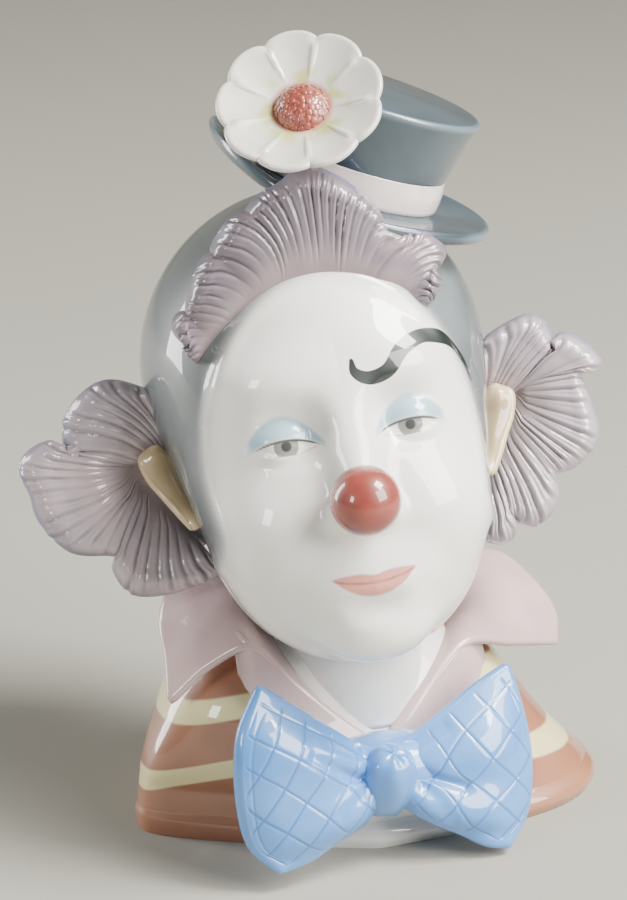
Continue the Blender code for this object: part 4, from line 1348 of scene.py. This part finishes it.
def bowWing(rays, folds, side):
    rows, columns = 200, 210
    grid = bustPlaced(loftRays(rays, rows, columns))
    down, out = np.linspace(0, 1, rows)[:, None], np.linspace(0, 1, columns)[None, :]
    pillow = np.sin(math.pi * down) ** 0.7 * np.sin(math.pi * (0.1 + 0.83 * out)) ** 0.6
    thickness = (bow["edgeThickness"] + bow["pillow"] * pillow) * mm
    x, _, z = np.moveaxis(grid, -1, 0) / mm
    first = (x * side) * 0.78 + z * 0.62 + 2.2 * np.sin(down * 3) + 0.8 * np.sin(x / 6.0)
    second = (x * side) * 0.66 - z * 0.75 + 2.2 * np.sin(out * 3 + 1) + 0.8 * np.sin(z / 5.0)
    inside = smoothStep(0.0, 0.05, down) * smoothStep(1.0, 0.95, down) * smoothStep(1.0, 0.96, out)
    line = scored(first, second) * inside * smoothStep(0.03, 0.16, out)
    hem = np.exp(-(((out - 0.93) / 0.012) ** 2)) * smoothStep(0.04, 0.12, down) * smoothStep(0.97, 0.8, down)
    fold = pressed(x, z, folds)
    plump = 0.5 * bow["pillow"] * np.clip(1.2 * out, 0, 1) * np.sin(math.pi * down)
    cut = bow["lineDepth"] * np.maximum(line * (1 - 0.5 * fold / 2.8), 0.8 * hem)
    lift = (0.25 * plump - fold - cut) * mm
    normal = gridNormals(grid)
    normal = normal * np.where(normal[..., 1].mean() > 0, -1, 1)
    points, quads, fans, source, _ = thickSheet(grid, thickness)
    # Only the front face carries the scored lines and folds; the back stays plain.
    front = np.arange(len(points)) < 2 * rows * columns
    frontSide = np.sum((points - grid.reshape(-1, 3)[source]) * normal.reshape(-1, 3)[source], axis=1) > 0
    moved = points + (normal * lift[..., None]).reshape(-1, 3)[source] * (front & frontSide)[:, None]
    marks = line.ravel()[source] * (front & frontSide)
    return (moved, quads, fans), marks


def bowKnot():
    middle = bustPlaced([bow["knot"]])[0]
    place = Matrix.Translation(middle) @ Matrix.Rotation(math.radians(bow["knotLean"]), 4, "X")

    def folds(unit):
        turn = np.arctan2(unit[..., 0], -unit[..., 1])
        return 1 + 0.018 * np.cos(6 * turn + 1.8 * unit[..., 2]) + 0.012 * np.cos(3 * turn - 4 * unit[..., 2])

    radii = np.array((bow["knotWidth"] / 2, 9.5, bow["knotHeight"] / 2)) * mm
    return ballShell((0, 0, 0), radii, place, 80, 110, folds, 0.6)


def bowSeat():
    middle = bustPlaced([bow["seat"]])[0]
    return ballShell(middle, np.array(bow["seatRadii"]) * mm, Matrix.Identity(4), 30, 44)


def blueBow():
    # Light blue glaze, deeper where it pools in the scored lines
    material, tree, shader, tone = sprayed(
        "glazed_porcelain_light_blue", bow["blue"], bow["highBlue"], 24.0, 2.0, 4.0
    )
    tone = blendColour(tree, ramp(tree, mark(tree, "line"), 0.15, 0.95), tone, bow["lineBlue"])
    finishPaint(tree, shader, tone)
    names = ("bow_right_wing", "bow_left_wing")
    for name, rays, folds, side in zip(names, bow["wings"], bow["folds"], (-1, 1)):
        shell, marks = bowWing(rays, folds, side)
        partOfBust(newPiece(name, *shell, material, {"line": marks}))
    knot = joined(bowKnot(), bowSeat())
    partOfBust(newPiece("bow_knot", *knot, material, {"line": np.zeros(len(knot[0]))}))


blueBow()
print("bow tied")


studio = {
    "floor": "#A09E94",
    "floorCloud": "#9E9C92",
    "floorFront": -2.5,        # m, where the paper begins
    "sweepStart": 2.0,         # m behind the bust, where the paper starts to rise
    "sweepRadius": 0.6,
    "sweepTop": 2.6,
    "skyColour": "#DCDBD8",
    "sky": 0.17,
    # name: place, what it faces, width and height in m, watts, colour
    "softBoxes": {
        "right_key": ((0.80, -0.55, 1.45), (0, 0, 0.15), (0.6, 0.6), 72.0, "#FFFDF8"),
        "right_front": ((0.95, -1.25, 0.95), (0, 0, 0.15), (1.0, 1.0), 60.0, "#FFFCF6"),
        "left_window": ((-1.30, -0.55, 0.60), (0, 0, 0.15), (0.28, 0.4), 7.0, "#FFFEFC"),
        "back_window": ((-1.05, 0.90, 0.52), (0, 0, 0.52), (0.36, 1.1), 22.0, "#FFFEFC"),
    },
    "lookAt": (-0.01925, 0.0, 0.12962),
    "azimuth": -22.0,
    "elevation": 20.0,
    "distance": 1.15,
    "lens": 135.3,
}


def paleSweep():
    # A floor that curves up into a backdrop far behind the bust
    material = bpy.data.materials.new("matt_paper_sweep")
    material.use_nodes = True
    tree = material.node_tree
    shader = tree.nodes["Principled BSDF"]
    shader.inputs["Roughness"].default_value = 0.75
    tone = blendColour(tree, ramp(tree, mottle(tree, 400.0), 0.3, 0.7), studio["floor"], studio["floorCloud"])
    finishPaint(tree, shader, tone)
    begins, radius = studio["sweepStart"], studio["sweepRadius"]
    profile = [(studio["floorFront"], 0.0), (begins, 0.0)]
    for angle in np.linspace(0.1, math.pi / 2, 16):
        profile.append((begins + radius * math.sin(angle), radius - radius * math.cos(angle)))
    profile.append((begins + radius, studio["sweepTop"]))
    points = [(x, y, z) for y, z in profile for x in (-4.0, 4.0)]
    quads = [(2 * step, 2 * step + 1, 2 * step + 3, 2 * step + 2) for step in range(len(profile) - 1)]
    mesh = bpy.data.meshes.new("paper_sweep")
    mesh.from_pydata(points, [], quads)
    mesh.materials.append(material)
    mesh.shade_smooth()
    sweep = bpy.data.objects.new("paper_sweep", mesh)
    bpy.context.scene.collection.objects.link(sweep)


def softBox(name, centre, target, size, power, colour):
    light = bpy.data.lights.new(name, "AREA")
    light.shape = "RECTANGLE"
    light.size, light.size_y = size
    light.energy = power
    light.color = fromHex(colour)[:3]
    lamp = bpy.data.objects.new(name, light)
    lamp.location = centre
    lamp.rotation_euler = (Vector(target) - Vector(centre)).to_track_quat("-Z", "Y").to_euler()
    bpy.context.scene.collection.objects.link(lamp)


def studioLight():
    world = bpy.data.worlds.new("studio")
    world.use_nodes = True
    background = world.node_tree.nodes["Background"]
    background.inputs["Color"].default_value = fromHex(studio["skyColour"])
    background.inputs["Strength"].default_value = studio["sky"]
    bpy.context.scene.world = world
    for name, values in studio["softBoxes"].items():
        softBox(name, *values)


def photoCamera():
    camera = bpy.data.cameras.new("photo_view")
    camera.sensor_fit = "VERTICAL"
    camera.sensor_height = 36.0
    camera.lens = studio["lens"]
    camera.clip_end = 20.0
    eye = bpy.data.objects.new("photo_view", camera)
    azimuth, elevation = math.radians(studio["azimuth"]), math.radians(studio["elevation"])
    away = Vector((
        math.sin(azimuth) * math.cos(elevation), -math.cos(azimuth) * math.cos(elevation), math.sin(elevation)
    ))
    eye.location = Vector(studio["lookAt"]) + away * studio["distance"]
    eye.rotation_euler = (math.pi / 2 - elevation, 0, azimuth)
    bpy.context.scene.collection.objects.link(eye)
    bpy.context.scene.camera = eye


paleSweep()
studioLight()
photoCamera()
print("studio ready")
